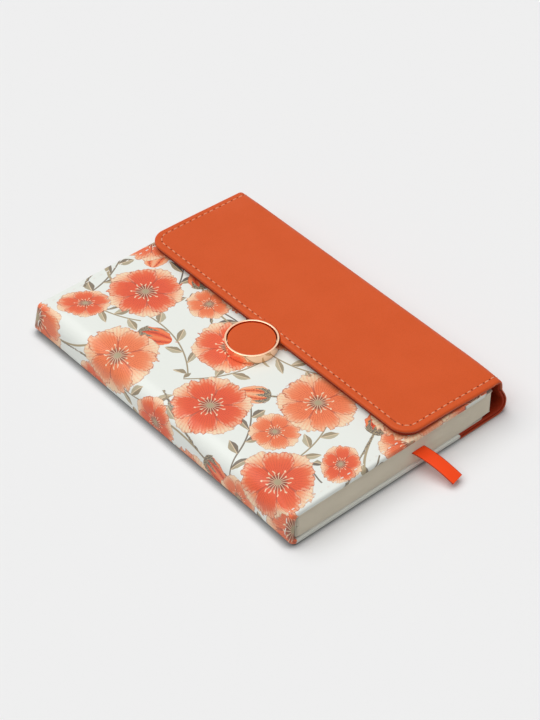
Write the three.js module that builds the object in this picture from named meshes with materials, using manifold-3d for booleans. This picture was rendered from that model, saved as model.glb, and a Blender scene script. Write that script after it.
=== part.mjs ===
// Pocket notebook with a magnetic flap: a printed hard cover round a sewn page block, a leather
// wrap that rises round the fore-edge as a gusset and folds over the front as a flap, a round
// metal button on the flap's edge and a ribbon marker. Millimetres, +Z up, lying on its back cover.
// X runs from the spine (-) to the fore-edge (+), Y from the tail (-) to the head (+).
import * as THREE from "three";
import { mergeVertices } from "three/addons/utils/BufferGeometryUtils.js";
import Module from "manifold-3d";

const wasm = await Module();
wasm.setup();

// Driving dimensions of the case and the page block
const COVER_LENGTH = 150;
const COVER_WIDTH = 98.7;
const SPINE_X = -54.2;
const COVER_CORNER_R = 4;
const SPINE_TOP_R = 7;
const SPINE_FOOT_R = 3.2;
const CASE_INNER_R = 1.5;
const SKIN = 0.45;
const BOARD = 1.73;
const ENDPAPER = 0.2;
const HINGE_JOINT = 2;
const SPINE_CARD = 1.2;
const BLOCK_THICKNESS = 11.3;
const BLOCK_PROUD = 2.2;
const BLOCK_INSET = 0.9;
const SECTIONS_BELOW_RIBBON = 4;
const SECTIONS_ABOVE_RIBBON = 4;
const FLYLEAF = 0.15;
const SPINE_LINING = 0.25;

// Driving dimensions of the leather wrap
const LEATHER = 0.9;
const LINING = 0.6;
const WRAP_SHORT = 0.6;
const WRAP_SHIFT_Y = 0.2;
const WRAP_LAP = 15;
const GUSSET_HALF_WALL = 1;
const FOOT_BEAD_R = 1.9;
const FOOT_OUT = 5.7;
const FOOT_LIFT = 0.05;
const FOLD_BEAD_R = 2.75;
const FOLD_OUT = 2;
const FOLD_RISE = 0.1;
const GUSSET_BULGE = 0.35;
const GUSSET_BULGE_AT = 0.23;
const GUSSET_PINCH = 1.45;
const GUSSET_PINCH_AT = 0.54;
const FLAP_REACH = 48.5;
const FLAP_CORNER_R = 8;
const FLAP_TILT = THREE.MathUtils.degToRad(1.4);
const FLAP_BOARD = 0.8;
const FLAP_BOARD_INSET = 1.6;

// Driving dimensions of the button, its fixing and the catch in the front cover
const BUTTON_R = 10.45;
const BUTTON_OUT = 7.15;
const BUTTON_Y = 1.8;
const CUP_HEIGHT = 3.4;
const CUP_WALL = 0.75;
const CUP_FLOOR = 0.5;
const CUP_CHAMFER = 0.2;
const BUTTON_BASE = 0.5;
const BUTTON_INSET = 0.95;
const MAGNET_R = 8;
const MAGNET_HEIGHT = 1.3;
const TONGUE_LENGTH = 21;
const TONGUE_WIDTH = 9;
const RIVET_R = 0.8;
const RIVET_HEAD_R = 1.5;
const RIVET_PITCH = 5;
const RIVET_END = 3;
const CATCH_R = 7;
const CATCH_HEIGHT = 1;

// Driving dimensions of the threads and the ribbon
const STITCH_LENGTH = 2.1;
const STITCH_PITCH = 3.1;
const THREAD_WIDTH = 0.5;
const THREAD_HEIGHT = 0.3;
const COVER_THREAD_HEIGHT = 0.14;
const WRAP_STITCH_INSET = 3.1;
const COVER_STITCH_INSET = 2.6;
const RIBBON_X = 8.1;
const RIBBON_WIDTH = 6.2;
const RIBBON_THICKNESS = 0.3;
const RIBBON_REACH = 16.6;
const RIBBON_DROP = 5.5;
const RIBBON_TURN = THREE.MathUtils.degToRad(13);

// Clearances: a glue line between flat layers, a seat round a fitted piece, a gap between the
// flap's layers
const GLUE = 0.02;
const SEAT = 0.3;
const LAYER_GAP = 0.2;

// Steps of a curved outline, and of a turned piece
const CURVE_STEPS = 6;
const TURNED_STEPS = 48;
const SMALL_TURNED_STEPS = 16;

// Sizes and places that follow from the driving dimensions
const COVER = SKIN + BOARD + ENDPAPER + GLUE;
const TOTAL_HEIGHT = 2 * COVER + BLOCK_THICKNESS;
const FRONT_Z = COVER + BLOCK_THICKNESS;
const HALF = COVER_LENGTH / 2;
const COVER_FORE_X = SPINE_X + COVER_WIDTH;
const BOARD_X0 = SPINE_X + SPINE_TOP_R + HINGE_JOINT;
const BLOCK_X0 = SPINE_X + COVER + 2 * GLUE + SPINE_LINING;
const BLOCK_X1 = COVER_FORE_X + BLOCK_PROUD;
const BLOCK_HALF = HALF - BLOCK_INSET;
const SECTIONS = SECTIONS_BELOW_RIBBON + SECTIONS_ABOVE_RIBBON;
const RIBBON_Z = COVER + (BLOCK_THICKNESS * SECTIONS_BELOW_RIBBON) / SECTIONS;
const PRINT_EDGE_X = COVER_FORE_X - WRAP_LAP;
const WRAP_LENGTH = COVER_LENGTH - WRAP_SHORT;
const WRAP_Y0 = WRAP_SHIFT_Y - WRAP_LENGTH / 2;
const WRAP_Y1 = WRAP_SHIFT_Y + WRAP_LENGTH / 2;
const FOOT_X = BLOCK_X1 + FOOT_OUT;
const FOOT_Z = FOOT_BEAD_R + FOOT_LIFT;
const FOLD_X = BLOCK_X1 + FOLD_OUT;
const FOLD_Z = TOTAL_HEIGHT + FOLD_RISE;
const FLAP_END = -FOLD_BEAD_R - SEAT;
const FLAP_LINING_Z = LAYER_GAP - FOLD_RISE;
const FLAP_BOARD_Z = FLAP_LINING_Z + LINING + LAYER_GAP;
const FLAP_LEATHER_Z = FLAP_BOARD_Z + FLAP_BOARD + LAYER_GAP;
const FLAP_TOP_Z = FLAP_LEATHER_Z + LEATHER;
const BUTTON_X = FOLD_X - FLAP_REACH - BUTTON_OUT;
const BASE_Z = TOTAL_HEIGHT + SEAT;
const CUP_Z = BASE_Z + BUTTON_BASE + GLUE;

const COLOURS = {
  print: new THREE.MeshStandardMaterial({ color: 0xe4e8e2, roughness: 0.55, metalness: 0 }),
  board: new THREE.MeshStandardMaterial({ color: 0x9c917d, roughness: 0.95, metalness: 0 }),
  paper: new THREE.MeshStandardMaterial({ color: 0xe6dfcd, roughness: 0.9, metalness: 0 }),
  leather: new THREE.MeshStandardMaterial({ color: 0xd35c30, roughness: 0.5, metalness: 0 }),
  lining: new THREE.MeshStandardMaterial({ color: 0xa9401f, roughness: 0.75, metalness: 0 }),
  thread: new THREE.MeshStandardMaterial({ color: 0xf3b79c, roughness: 0.7, metalness: 0 }),
  coverThread: new THREE.MeshStandardMaterial({ color: 0xf2f1ec, roughness: 0.7, metalness: 0 }),
  gold: new THREE.MeshStandardMaterial({ color: 0xe8b795, roughness: 0.15, metalness: 1 }),
  steel: new THREE.MeshStandardMaterial({ color: 0x9fa3a6, roughness: 0.35, metalness: 1 }),
  ribbon: new THREE.MeshStandardMaterial({ color: 0xf2490f, roughness: 0.4, metalness: 0 }),
};

// A named mesh with its own copy of one of the colours above
function part(name, geometry, colour) {
  const mesh = new THREE.Mesh(geometry, COLOURS[colour].clone());
  mesh.name = name;
  return mesh;
}

// A closed three.js geometry as a manifold solid
function solid(geometry) {
  const bare = new THREE.BufferGeometry();
  const flat = geometry.index ? geometry.toNonIndexed() : geometry;
  bare.setAttribute("position", flat.getAttribute("position"));
  const merged = mergeVertices(bare, 1e-4);
  return new wasm.Manifold(
    new wasm.Mesh({
      numProp: 3,
      vertProperties: merged.getAttribute("position").array,
      triVerts: new Uint32Array(merged.index.array),
    }),
  );
}

// A manifold solid as a three.js geometry
function geometryOf(body) {
  const mesh = body.getMesh();
  const geometry = new THREE.BufferGeometry();
  const places = Float32Array.from(mesh.vertProperties);
  geometry.setAttribute("position", new THREE.BufferAttribute(places, 3));
  geometry.setIndex(new THREE.BufferAttribute(Uint32Array.from(mesh.triVerts), 1));
  geometry.computeVertexNormals();
  return geometry;
}

function joined(bodies) {
  return bodies.reduce((whole, body) => whole.add(body));
}

// A plan outline extruded upwards from z0 to z1
function plate(outline, z0, z1) {
  const geometry = new THREE.ExtrudeGeometry(outline, {
    depth: z1 - z0,
    bevelEnabled: false,
    curveSegments: CURVE_STEPS,
  });
  return geometry.translate(0, 0, z0);
}

// A cross-section drawn in X and Z, extruded along Y from y0 to y1
function lengthwise(section, y0, y1) {
  const geometry = new THREE.ExtrudeGeometry(section, {
    depth: y1 - y0,
    bevelEnabled: false,
    curveSegments: CURVE_STEPS,
  });
  return geometry.rotateX(Math.PI / 2).translate(0, y1, 0);
}

function block(x0, x1, y0, y1, z0, z1) {
  const geometry = new THREE.BoxGeometry(x1 - x0, y1 - y0, z1 - z0);
  return geometry.translate((x0 + x1) / 2, (y0 + y1) / 2, (z0 + z1) / 2);
}

// A cylinder that stands along Z, centred on the origin
function upright(radius, height, steps = TURNED_STEPS) {
  return new THREE.CylinderGeometry(radius, radius, height, steps).rotateX(Math.PI / 2);
}

// A round piece turned from a profile of [radius, height] pairs
function turned(pairs, steps = TURNED_STEPS) {
  const profile = pairs.map(([r, z]) => new THREE.Vector2(r, z));
  return new THREE.LatheGeometry(profile, steps).rotateX(Math.PI / 2);
}

// A rectangle in plan whose corners on the +X side, or on the -X side, are rounded
function sheetOutline(x0, x1, y0, y1, radius, roundedSide = 1) {
  const shape = new THREE.Shape();
  const quarter = Math.PI / 2;
  if (roundedSide > 0) {
    shape.moveTo(x0, y0);
    shape.lineTo(x1 - radius, y0);
    shape.absarc(x1 - radius, y0 + radius, radius, -quarter, 0, false);
    shape.absarc(x1 - radius, y1 - radius, radius, 0, quarter, false);
    shape.lineTo(x0, y1);
  } else {
    shape.moveTo(x1, y0);
    shape.lineTo(x1, y1);
    shape.lineTo(x0 + radius, y1);
    shape.absarc(x0 + radius, y1 - radius, radius, quarter, 2 * quarter, false);
    shape.absarc(x0 + radius, y0 + radius, radius, 2 * quarter, 3 * quarter, false);
  }
  shape.closePath();
  return shape;
}

// The case's section: back, rounded spine and front, between a depth below its outside and the
// depth of its inside. It ends square at backX and at foreX.
function caseSection(outside, inside, backX, foreX) {
  const half = Math.PI / 2;
  const top = TOTAL_HEIGHT;
  const footX = SPINE_X + SPINE_FOOT_R;
  const headX = SPINE_X + SPINE_TOP_R;
  const headZ = top - SPINE_TOP_R;
  const wallX = SPINE_X + inside;
  const shape = new THREE.Shape();
  shape.moveTo(backX, outside);
  shape.lineTo(backX, inside);
  shape.lineTo(wallX + CASE_INNER_R, inside);
  shape.absarc(wallX + CASE_INNER_R, inside + CASE_INNER_R, CASE_INNER_R, -half, -2 * half, true);
  shape.absarc(wallX + CASE_INNER_R, top - inside - CASE_INNER_R, CASE_INNER_R, 2 * half, half, true);
  shape.lineTo(foreX, top - inside);
  shape.lineTo(foreX, top - outside);
  shape.absarc(headX, headZ, SPINE_TOP_R - outside, half, 2 * half, false);
  shape.absarc(footX, SPINE_FOOT_R, SPINE_FOOT_R - outside, 2 * half, 3 * half, false);
  shape.closePath();
  return shape;
}

// The two blocks of waste outside a rounded front corner, at either end of the cover
function cornerWaste(foreX, half, radius) {
  const zoneX = foreX - radius;
  const over = radius / 10;
  const ends = [-1, 1].map((end) => {
    const zoneY = half - radius;
    const corner = new THREE.Shape();
    corner.moveTo(zoneX, end * (half + over));
    corner.lineTo(zoneX, end * half);
    corner.absarc(zoneX, end * zoneY, radius, (end * Math.PI) / 2, 0, end > 0);
    corner.lineTo(foreX + over, end * zoneY);
    corner.lineTo(foreX + over, end * (half + over));
    corner.closePath();
    return solid(plate(corner, TOTAL_HEIGHT / 2, TOTAL_HEIGHT + over));
  });
  return joined(ends);
}

// The printed sheet: the outside of the case, with its edges turned in round the boards
function printedCover() {
  const section = caseSection(0, COVER, PRINT_EDGE_X, COVER_FORE_X);
  const outside = solid(lengthwise(section, -HALF, HALF));
  const outer = outside.subtract(cornerWaste(COVER_FORE_X, HALF, COVER_CORNER_R));
  const fore = COVER_FORE_X - SKIN;
  const half = HALF - SKIN;
  const pocketSection = caseSection(SKIN, COVER + SEAT, PRINT_EDGE_X + SEAT, fore);
  const pocket = solid(lengthwise(pocketSection, -half, half));
  const inner = pocket.subtract(cornerWaste(fore, half, COVER_CORNER_R - SKIN));
  return part("printed_cover", geometryOf(outer.subtract(inner)), "print");
}

// The outline of a cover board, inset from the outside of the case
function boardOutline(inset) {
  const fore = COVER_FORE_X - inset;
  return sheetOutline(BOARD_X0, fore, inset - HALF, HALF - inset, COVER_CORNER_R - inset);
}

// The front board, with a round pocket for the catch plate in its upper face
function frontBoard() {
  const top = TOTAL_HEIGHT - SKIN - GLUE;
  const board = solid(plate(boardOutline(SKIN + GLUE), FRONT_Z + ENDPAPER + GLUE, top));
  const pocket = upright(CATCH_R + SEAT, 2 * (CATCH_HEIGHT + GLUE)).translate(BUTTON_X, BUTTON_Y, top);
  return part("front_board", geometryOf(board.subtract(solid(pocket))), "board");
}

function backBoard() {
  const board = plate(boardOutline(SKIN + GLUE), SKIN + GLUE, COVER - ENDPAPER - GLUE);
  return part("back_board", board, "board");
}

function catchPlate() {
  const mesh = part("catch_plate", upright(CATCH_R, CATCH_HEIGHT), "steel");
  mesh.position.set(BUTTON_X, BUTTON_Y, TOTAL_HEIGHT - SKIN - GLUE - CATCH_HEIGHT / 2);
  return mesh;
}

// The flat card in the spine, between the roundings of the printed sheet
function spineCard() {
  const x0 = SPINE_X + SKIN + GLUE;
  const half = HALF - SKIN - GLUE;
  const card = block(x0, x0 + SPINE_CARD, -half, half, SPINE_FOOT_R, TOTAL_HEIGHT - SPINE_TOP_R);
  return part("spine_card", card, "board");
}

// The sheets pasted inside the covers, and the loose leaf that faces each of them
function endpapers() {
  const inset = SKIN + GLUE;
  const radius = COVER_CORNER_R - inset;
  const pasted = sheetOutline(BOARD_X0, COVER_FORE_X - inset, -BLOCK_HALF, BLOCK_HALF, radius);
  const fold = BLOCK_X0 + SPINE_FOOT_R / 2;
  const loose = sheetOutline(fold, BLOCK_X1, -BLOCK_HALF, BLOCK_HALF, BLOCK_INSET);
  return [
    part("back_pastedown", plate(pasted, COVER - ENDPAPER, COVER), "paper"),
    part("back_flyleaf", plate(loose, COVER + GLUE, COVER + GLUE + FLYLEAF), "paper"),
    part("front_flyleaf", plate(loose, FRONT_Z - GLUE - FLYLEAF, FRONT_Z - GLUE), "paper"),
    part("front_pastedown", plate(pasted, FRONT_Z, FRONT_Z + ENDPAPER), "paper"),
  ];
}

// One sewn section of the page block, with its fold rounded at the spine
function signature(number, z0, z1) {
  const radius = (z1 - z0) / 2;
  const section = new THREE.Shape();
  section.moveTo(BLOCK_X1, z0);
  section.lineTo(BLOCK_X1, z1);
  section.lineTo(BLOCK_X0 + radius, z1);
  section.absarc(BLOCK_X0 + radius, z0 + radius, radius, Math.PI / 2, (3 * Math.PI) / 2, false);
  section.closePath();
  return part(`signature_${number}`, lengthwise(section, -BLOCK_HALF, BLOCK_HALF), "paper");
}

// The sewn sections, in a stack below the ribbon and a stack above it
function pageBlock() {
  const leaf = FLYLEAF + 2 * GLUE;
  const parting = RIBBON_THICKNESS / 2 + GLUE;
  const stacks = [
    { from: COVER + leaf, to: RIBBON_Z - parting, count: SECTIONS_BELOW_RIBBON },
    { from: RIBBON_Z + parting, to: FRONT_Z - leaf, count: SECTIONS_ABOVE_RIBBON },
  ];
  const sections = [];
  for (const stack of stacks) {
    const step = (stack.to - stack.from + GLUE) / stack.count;
    for (let i = 0; i < stack.count; i += 1) {
      const z0 = stack.from + i * step;
      sections.push(signature(sections.length + 1, z0, z0 + step - GLUE));
    }
  }
  return sections;
}

// The gauze strip glued over the folds of the sections
function spineLining() {
  const x1 = BLOCK_X0 - GLUE;
  const z0 = COVER + CASE_INNER_R;
  const strip = block(x1 - SPINE_LINING, x1, -BLOCK_HALF, BLOCK_HALF, z0, FRONT_Z - CASE_INNER_R);
  return part("spine_lining", strip, "lining");
}

// The length of ribbon inside the block, from the head down to the tail face
function ribbonInner() {
  const x0 = RIBBON_X - RIBBON_WIDTH / 2;
  const z0 = RIBBON_Z - RIBBON_THICKNESS / 2;
  const strip = block(x0, x0 + RIBBON_WIDTH, -BLOCK_HALF, BLOCK_HALF, z0, z0 + RIBBON_THICKNESS);
  return part("ribbon_inner", strip, "ribbon");
}

// The ribbon's loose end: level out of the block, then bending down more and more towards its tip
function ribbonTail() {
  const steps = 10;
  const bend = 1.6;
  const half = RIBBON_WIDTH / 2;
  const thick = RIBBON_THICKNESS / 2;
  const upper = [new THREE.Vector2(-half, thick)];
  const lower = [new THREE.Vector2(-half, -thick)];
  for (let i = 0; i <= steps; i += 1) {
    const t = i / steps;
    const sink = RIBBON_DROP * Math.pow(t, bend);
    upper.push(new THREE.Vector2(t * RIBBON_REACH, thick - sink));
    lower.push(new THREE.Vector2(t * RIBBON_REACH, -thick - sink));
  }
  const strip = lengthwise(new THREE.Shape([...lower, ...upper.reverse()]), -half, half)
    .rotateZ(RIBBON_TURN - Math.PI / 2)
    .translate(RIBBON_X, -BLOCK_HALF, RIBBON_Z);
  const side = 2 * RIBBON_WIDTH;
  const inBlock = block(RIBBON_X - side, RIBBON_X + side, -BLOCK_HALF - SEAT, 0, 0, TOTAL_HEIGHT);
  return part("ribbon_tail", geometryOf(solid(strip).subtract(solid(inBlock))), "ribbon");
}

// The wrap on the back board, from the print's edge to the gusset's foot: the outer leather
// below and the lining above it, both cut out for the board
function backWrap() {
  const x1 = FOOT_X - FOOT_BEAD_R - SEAT;
  const x0 = PRINT_EDGE_X + GLUE;
  const middle = COVER / 2;
  const seat = solid(plate(boardOutline(SKIN), SKIN, COVER));
  const leather = solid(block(x0, x1, WRAP_Y0, WRAP_Y1, 0, middle)).subtract(seat);
  const lining = solid(block(x0, x1, WRAP_Y0, WRAP_Y1, middle + GLUE, COVER - ENDPAPER)).subtract(seat);
  return [
    part("back_leather", geometryOf(leather), "leather"),
    part("back_lining", geometryOf(lining), "lining"),
  ];
}

// The middle line of the gusset's wall: out over the foot, in at the crease and up to the fold
function gussetLine() {
  const rise = FOLD_Z - FOOT_Z;
  const topX = FOLD_X + FOLD_BEAD_R - GUSSET_HALF_WALL;
  return new THREE.SplineCurve([
    new THREE.Vector2(FOOT_X, FOOT_Z),
    new THREE.Vector2(FOOT_X + GUSSET_BULGE, FOOT_Z + GUSSET_BULGE_AT * rise),
    new THREE.Vector2(FOOT_X - GUSSET_PINCH, FOOT_Z + GUSSET_PINCH_AT * rise),
    new THREE.Vector2(topX, FOLD_Z),
  ]);
}

// A strip of the gusset's section between two distances to the right of its middle line
function gussetStrip(from, to) {
  const line = gussetLine();
  const steps = 12;
  const left = [];
  const right = [];
  for (let i = 0; i <= steps; i += 1) {
    const point = line.getPoint(i / steps);
    const along = line.getTangent(i / steps);
    const across = new THREE.Vector2(along.y, -along.x);
    left.push(point.clone().addScaledVector(across, from));
    right.push(point.clone().addScaledVector(across, to));
  }
  return new THREE.Shape([...right, ...left.reverse()]);
}

function bead(x, z, radius) {
  const shape = new THREE.Shape();
  shape.absarc(x, z, radius, 0, 2 * Math.PI, false);
  return shape;
}

// The gusset: outer leather that is rounded about the hinge lines at its foot and at the fold,
// and the lining on its inside
function gusset() {
  const foot = (grow) => bead(FOOT_X, FOOT_Z, FOOT_BEAD_R + grow);
  const fold = (grow) => bead(FOLD_X, FOLD_Z, FOLD_BEAD_R + grow);
  const outer = [gussetStrip(0, GUSSET_HALF_WALL), foot(0), fold(0)];
  const leather = joined(outer.map((section) => solid(lengthwise(section, WRAP_Y0, WRAP_Y1))));
  const cuts = [foot(SEAT), fold(SEAT)].map((section) =>
    solid(lengthwise(section, WRAP_Y0 - SEAT, WRAP_Y1 + SEAT)),
  );
  const inner = solid(lengthwise(gussetStrip(-GUSSET_HALF_WALL, -SEAT / 2), WRAP_Y0, WRAP_Y1));
  return [
    part("gusset_leather", geometryOf(leather), "leather"),
    part("gusset_lining", geometryOf(inner.subtract(joined(cuts))), "lining"),
    ...gussetThreads(),
  ];
}

// A running thread as a strip along a path: full where a stitch lies on the surface and slim
// where the thread dips into its holes. Each side's offsets are [at a stitch, at a hole].
function threadOutline(path, left, right) {
  const count = Math.round(path.getLength() / STITCH_PITCH);
  const hole = (1 - STITCH_LENGTH / STITCH_PITCH) / 2;
  const leftSide = [];
  const rightSide = [];
  for (let i = 0; i < count; i += 1) {
    for (const end of [hole, 1 - hole]) {
      const point = path.getPointAt((i + end) / count);
      const along = path.getTangentAt((i + end) / count);
      const across = new THREE.Vector2(along.y, -along.x);
      const order = end === hole ? [1, 0] : [0, 1];
      for (const which of order) {
        leftSide.push(point.clone().addScaledVector(across, left[which]));
        rightSide.push(point.clone().addScaledVector(across, right[which]));
      }
    }
  }
  return new THREE.Shape([...rightSide, ...leftSide.reverse()]);
}

// The two threads up the outside of the gusset, one near each end of it
function gussetThreads() {
  const line = gussetLine();
  const near = GUSSET_HALF_WALL + SEAT / 2;
  const path = new THREE.SplineCurve([0.3, 0.4, 0.5, 0.6, 0.7].map((t) => line.getPoint(t)));
  const far = [near + THREAD_HEIGHT, near + THREAD_HEIGHT / 3];
  const section = threadOutline(path, [near, near], far);
  const half = THREAD_WIDTH / 2;
  const rows = { tail: WRAP_Y0 + WRAP_STITCH_INSET, head: WRAP_Y1 - WRAP_STITCH_INSET };
  return Object.entries(rows).map(([end, y]) =>
    part(`gusset_stitching_${end}`, lengthwise(section, y - half, y + half), "thread"),
  );
}

// The flap's outline in plan, in the flap's own frame, inset from its free edges
function flapOutline(inset, hingeEnd) {
  const half = WRAP_LENGTH / 2 - inset;
  return sheetOutline(inset - FLAP_REACH, hingeEnd, -half, half, FLAP_CORNER_R - inset, -1);
}

// The button's centre in plan, in the flap's own frame
function buttonOnFlap() {
  return new THREE.Vector2(BUTTON_X - FOLD_X, BUTTON_Y - WRAP_SHIFT_Y);
}

// The clearance round the button, in the flap's own frame
function buttonClearance() {
  const { x, y } = buttonOnFlap();
  return solid(upright(BUTTON_R + SEAT + GLUE, TOTAL_HEIGHT).translate(x, y, 0));
}

// The thread's path over the flap from the fold, along one end and down the front to the button
function flapThreadPath(side) {
  const half = WRAP_LENGTH / 2 - WRAP_STITCH_INSET;
  const front = WRAP_STITCH_INSET - FLAP_REACH;
  const radius = FLAP_CORNER_R - WRAP_STITCH_INSET;
  const turn = (side * Math.PI) / 2;
  const path = new THREE.Path();
  path.moveTo(FLAP_END - STITCH_PITCH / 3, side * half);
  path.lineTo(front + radius, side * half);
  path.absarc(front + radius, side * (half - radius), radius, turn, 2 * turn, side < 0);
  path.lineTo(front, buttonOnFlap().y + (side * BUTTON_R) / 2);
  return path;
}

// The two threads on the flap, which meet out of sight under the button
function flapThreads() {
  const half = THREAD_WIDTH / 2;
  const z = FLAP_TOP_Z + SEAT / 2;
  return Object.entries({ tail: -1, head: 1 }).map(([end, side]) => {
    const outline = threadOutline(flapThreadPath(side), [-half, -half / 3], [half, half / 3]);
    return part(`flap_stitching_${end}`, plate(outline, z, z + THREAD_HEIGHT), "thread");
  });
}

// The flap: outer leather, stiffening board and lining, tilted up towards its free edge
function flap() {
  const group = new THREE.Group();
  group.position.set(FOLD_X, WRAP_SHIFT_Y, FOLD_Z);
  group.rotation.y = FLAP_TILT;
  const notch = buttonClearance();
  const holes = joined(rivetPlaces().map(({ x, y }) => solid(rivetHole().translate(x, y, 0))));
  const layer = (inset, end, z0, z1) => solid(plate(flapOutline(inset, end), z0, z1)).subtract(notch);
  const edgeZ = FLAP_LINING_Z + LINING / 2;
  const hollow = layer(LEATHER, FLAP_END - SEAT, 0, FLAP_LEATHER_Z);
  const skin = layer(0, FLAP_END, edgeZ, FLAP_TOP_Z).subtract(hollow);
  const boardTop = FLAP_BOARD_Z + FLAP_BOARD;
  const stiffener = layer(FLAP_BOARD_INSET, FLAP_END - 2 * SEAT, FLAP_BOARD_Z, boardTop).subtract(holes);
  const liningTop = FLAP_LINING_Z + LINING;
  const under = layer(LEATHER + SEAT, FLAP_END - 2 * SEAT, FLAP_LINING_Z, liningTop).subtract(holes);
  group.add(part("flap_leather", geometryOf(skin), "leather"));
  group.add(part("flap_board", geometryOf(stiffener), "board"));
  group.add(part("flap_lining", geometryOf(under), "lining"));
  group.add(...flapThreads(), ...rivets(boardTop));
  return group;
}

// The rivets' places in plan, in the flap's own frame: two in a row along the flap's edge
function rivetPlaces() {
  const { x, y } = buttonOnFlap();
  const rowX = x + TONGUE_LENGTH - RIVET_END;
  return [-1, 1].map((side) => new THREE.Vector2(rowX, y + (side * RIVET_PITCH) / 2));
}

function rivetHole() {
  return upright(RIVET_R + SEAT, TOTAL_HEIGHT, SMALL_TURNED_STEPS);
}

// The two rivets: a head over the flap's board and a shank down through the tongue
function rivets(boardTop) {
  const sink = Math.tan(FLAP_TILT) * -rivetPlaces()[0].x;
  const shankEnd = BASE_Z - FOLD_Z - sink + LAYER_GAP / 2;
  const headZ = boardTop + LAYER_GAP / 4;
  const headTop = headZ + LAYER_GAP / 2;
  const profile = [
    [0, shankEnd],
    [RIVET_R, shankEnd],
    [RIVET_R, headZ],
    [RIVET_HEAD_R, headZ],
    [RIVET_HEAD_R, headTop],
    [0, headTop],
  ];
  return rivetPlaces().map(({ x, y }, i) => {
    const mesh = part(`button_rivet_${i + 1}`, turned(profile, SMALL_TURNED_STEPS), "steel");
    mesh.position.set(x, y, 0);
    return mesh;
  });
}

// The metal button: a base disc with a tongue, a cup, the magnet in it and its leather inset
function button() {
  const group = new THREE.Group();
  group.position.set(BUTTON_X, BUTTON_Y, 0);
  const bore = BUTTON_R - CUP_WALL;
  const cupProfile = [
    [0, 0],
    [BUTTON_R, 0],
    [BUTTON_R, CUP_HEIGHT - CUP_CHAMFER],
    [BUTTON_R - CUP_CHAMFER, CUP_HEIGHT],
    [bore, CUP_HEIGHT],
    [bore, CUP_FLOOR],
    [0, CUP_FLOOR],
  ];
  const cup = part("button_cup", turned(cupProfile), "gold");
  cup.position.z = CUP_Z;
  const magnet = part("button_magnet", upright(MAGNET_R, MAGNET_HEIGHT), "steel");
  const magnetZ = CUP_Z + CUP_FLOOR + GLUE;
  magnet.position.z = magnetZ + MAGNET_HEIGHT / 2;
  const insetR = bore - SEAT / 2;
  const insetProfile = [
    [0, 0],
    [insetR, 0],
    [insetR, BUTTON_INSET - CUP_CHAMFER],
    [insetR - CUP_CHAMFER, BUTTON_INSET],
    [0, BUTTON_INSET],
  ];
  const inset = part("button_inset", turned(insetProfile), "leather");
  inset.position.z = magnetZ + MAGNET_HEIGHT + GLUE;
  group.add(cup, magnet, inset, buttonBase());
  return group;
}

// The base disc under the cup, with the tongue that reaches under the flap
function buttonBase() {
  const disc = upright(BUTTON_R - SEAT, BUTTON_BASE).translate(0, 0, BUTTON_BASE / 2);
  const half = TONGUE_WIDTH / 2;
  const tongue = plate(sheetOutline(0, TONGUE_LENGTH, -half, half, half / 2), 0, BUTTON_BASE);
  const centre = buttonOnFlap();
  const places = rivetPlaces().map((place) => place.sub(centre));
  const holes = places.map(({ x, y }) => solid(rivetHole().translate(x, y, 0)));
  const body = solid(disc).add(solid(tongue)).subtract(joined(holes));
  const mesh = part("button_base", geometryOf(body), "gold");
  mesh.position.z = BASE_Z;
  return mesh;
}

// The cover's own threads along its head and tail edges, up the spine and over the front
function coverThreads() {
  const near = SEAT / 2;
  const headX = SPINE_X + SPINE_TOP_R;
  const headZ = TOTAL_HEIGHT - SPINE_TOP_R;
  const path = new THREE.Path();
  path.moveTo(SPINE_X, SPINE_FOOT_R);
  path.lineTo(SPINE_X, headZ);
  path.absarc(headX, headZ, SPINE_TOP_R, Math.PI, Math.PI / 2, true);
  path.lineTo(COVER_FORE_X - COVER_CORNER_R, TOTAL_HEIGHT);
  const far = [-near - COVER_THREAD_HEIGHT, -near - COVER_THREAD_HEIGHT / 3];
  const section = threadOutline(path, [-near, -near], far);
  const half = THREAD_WIDTH / 2;
  const edge = HALF - COVER_STITCH_INSET;
  return Object.entries({ tail: -edge, head: edge }).map(([end, y]) =>
    part(`cover_stitching_${end}`, lengthwise(section, y - half, y + half), "coverThread"),
  );
}

const group = new THREE.Group();
group.add(printedCover(), frontBoard(), backBoard(), spineCard(), catchPlate());
group.add(...endpapers(), ...pageBlock(), spineLining(), ribbonInner(), ribbonTail());
group.add(...backWrap(), ...gusset(), flap(), button(), ...coverThreads());

export default group;
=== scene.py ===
"""Dresses the pocket notebook: printed case, page block, leather wrap, metal button and ribbon.

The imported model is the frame: +X runs from the spine to the fore-edge, +Y from the tail to the head
and +Z up from the table. Every size is in metres.
"""
import logging
import math
from collections.abc import Callable, Iterable, Sequence
from dataclasses import dataclass, field
from enum import Enum
from typing import Union

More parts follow.
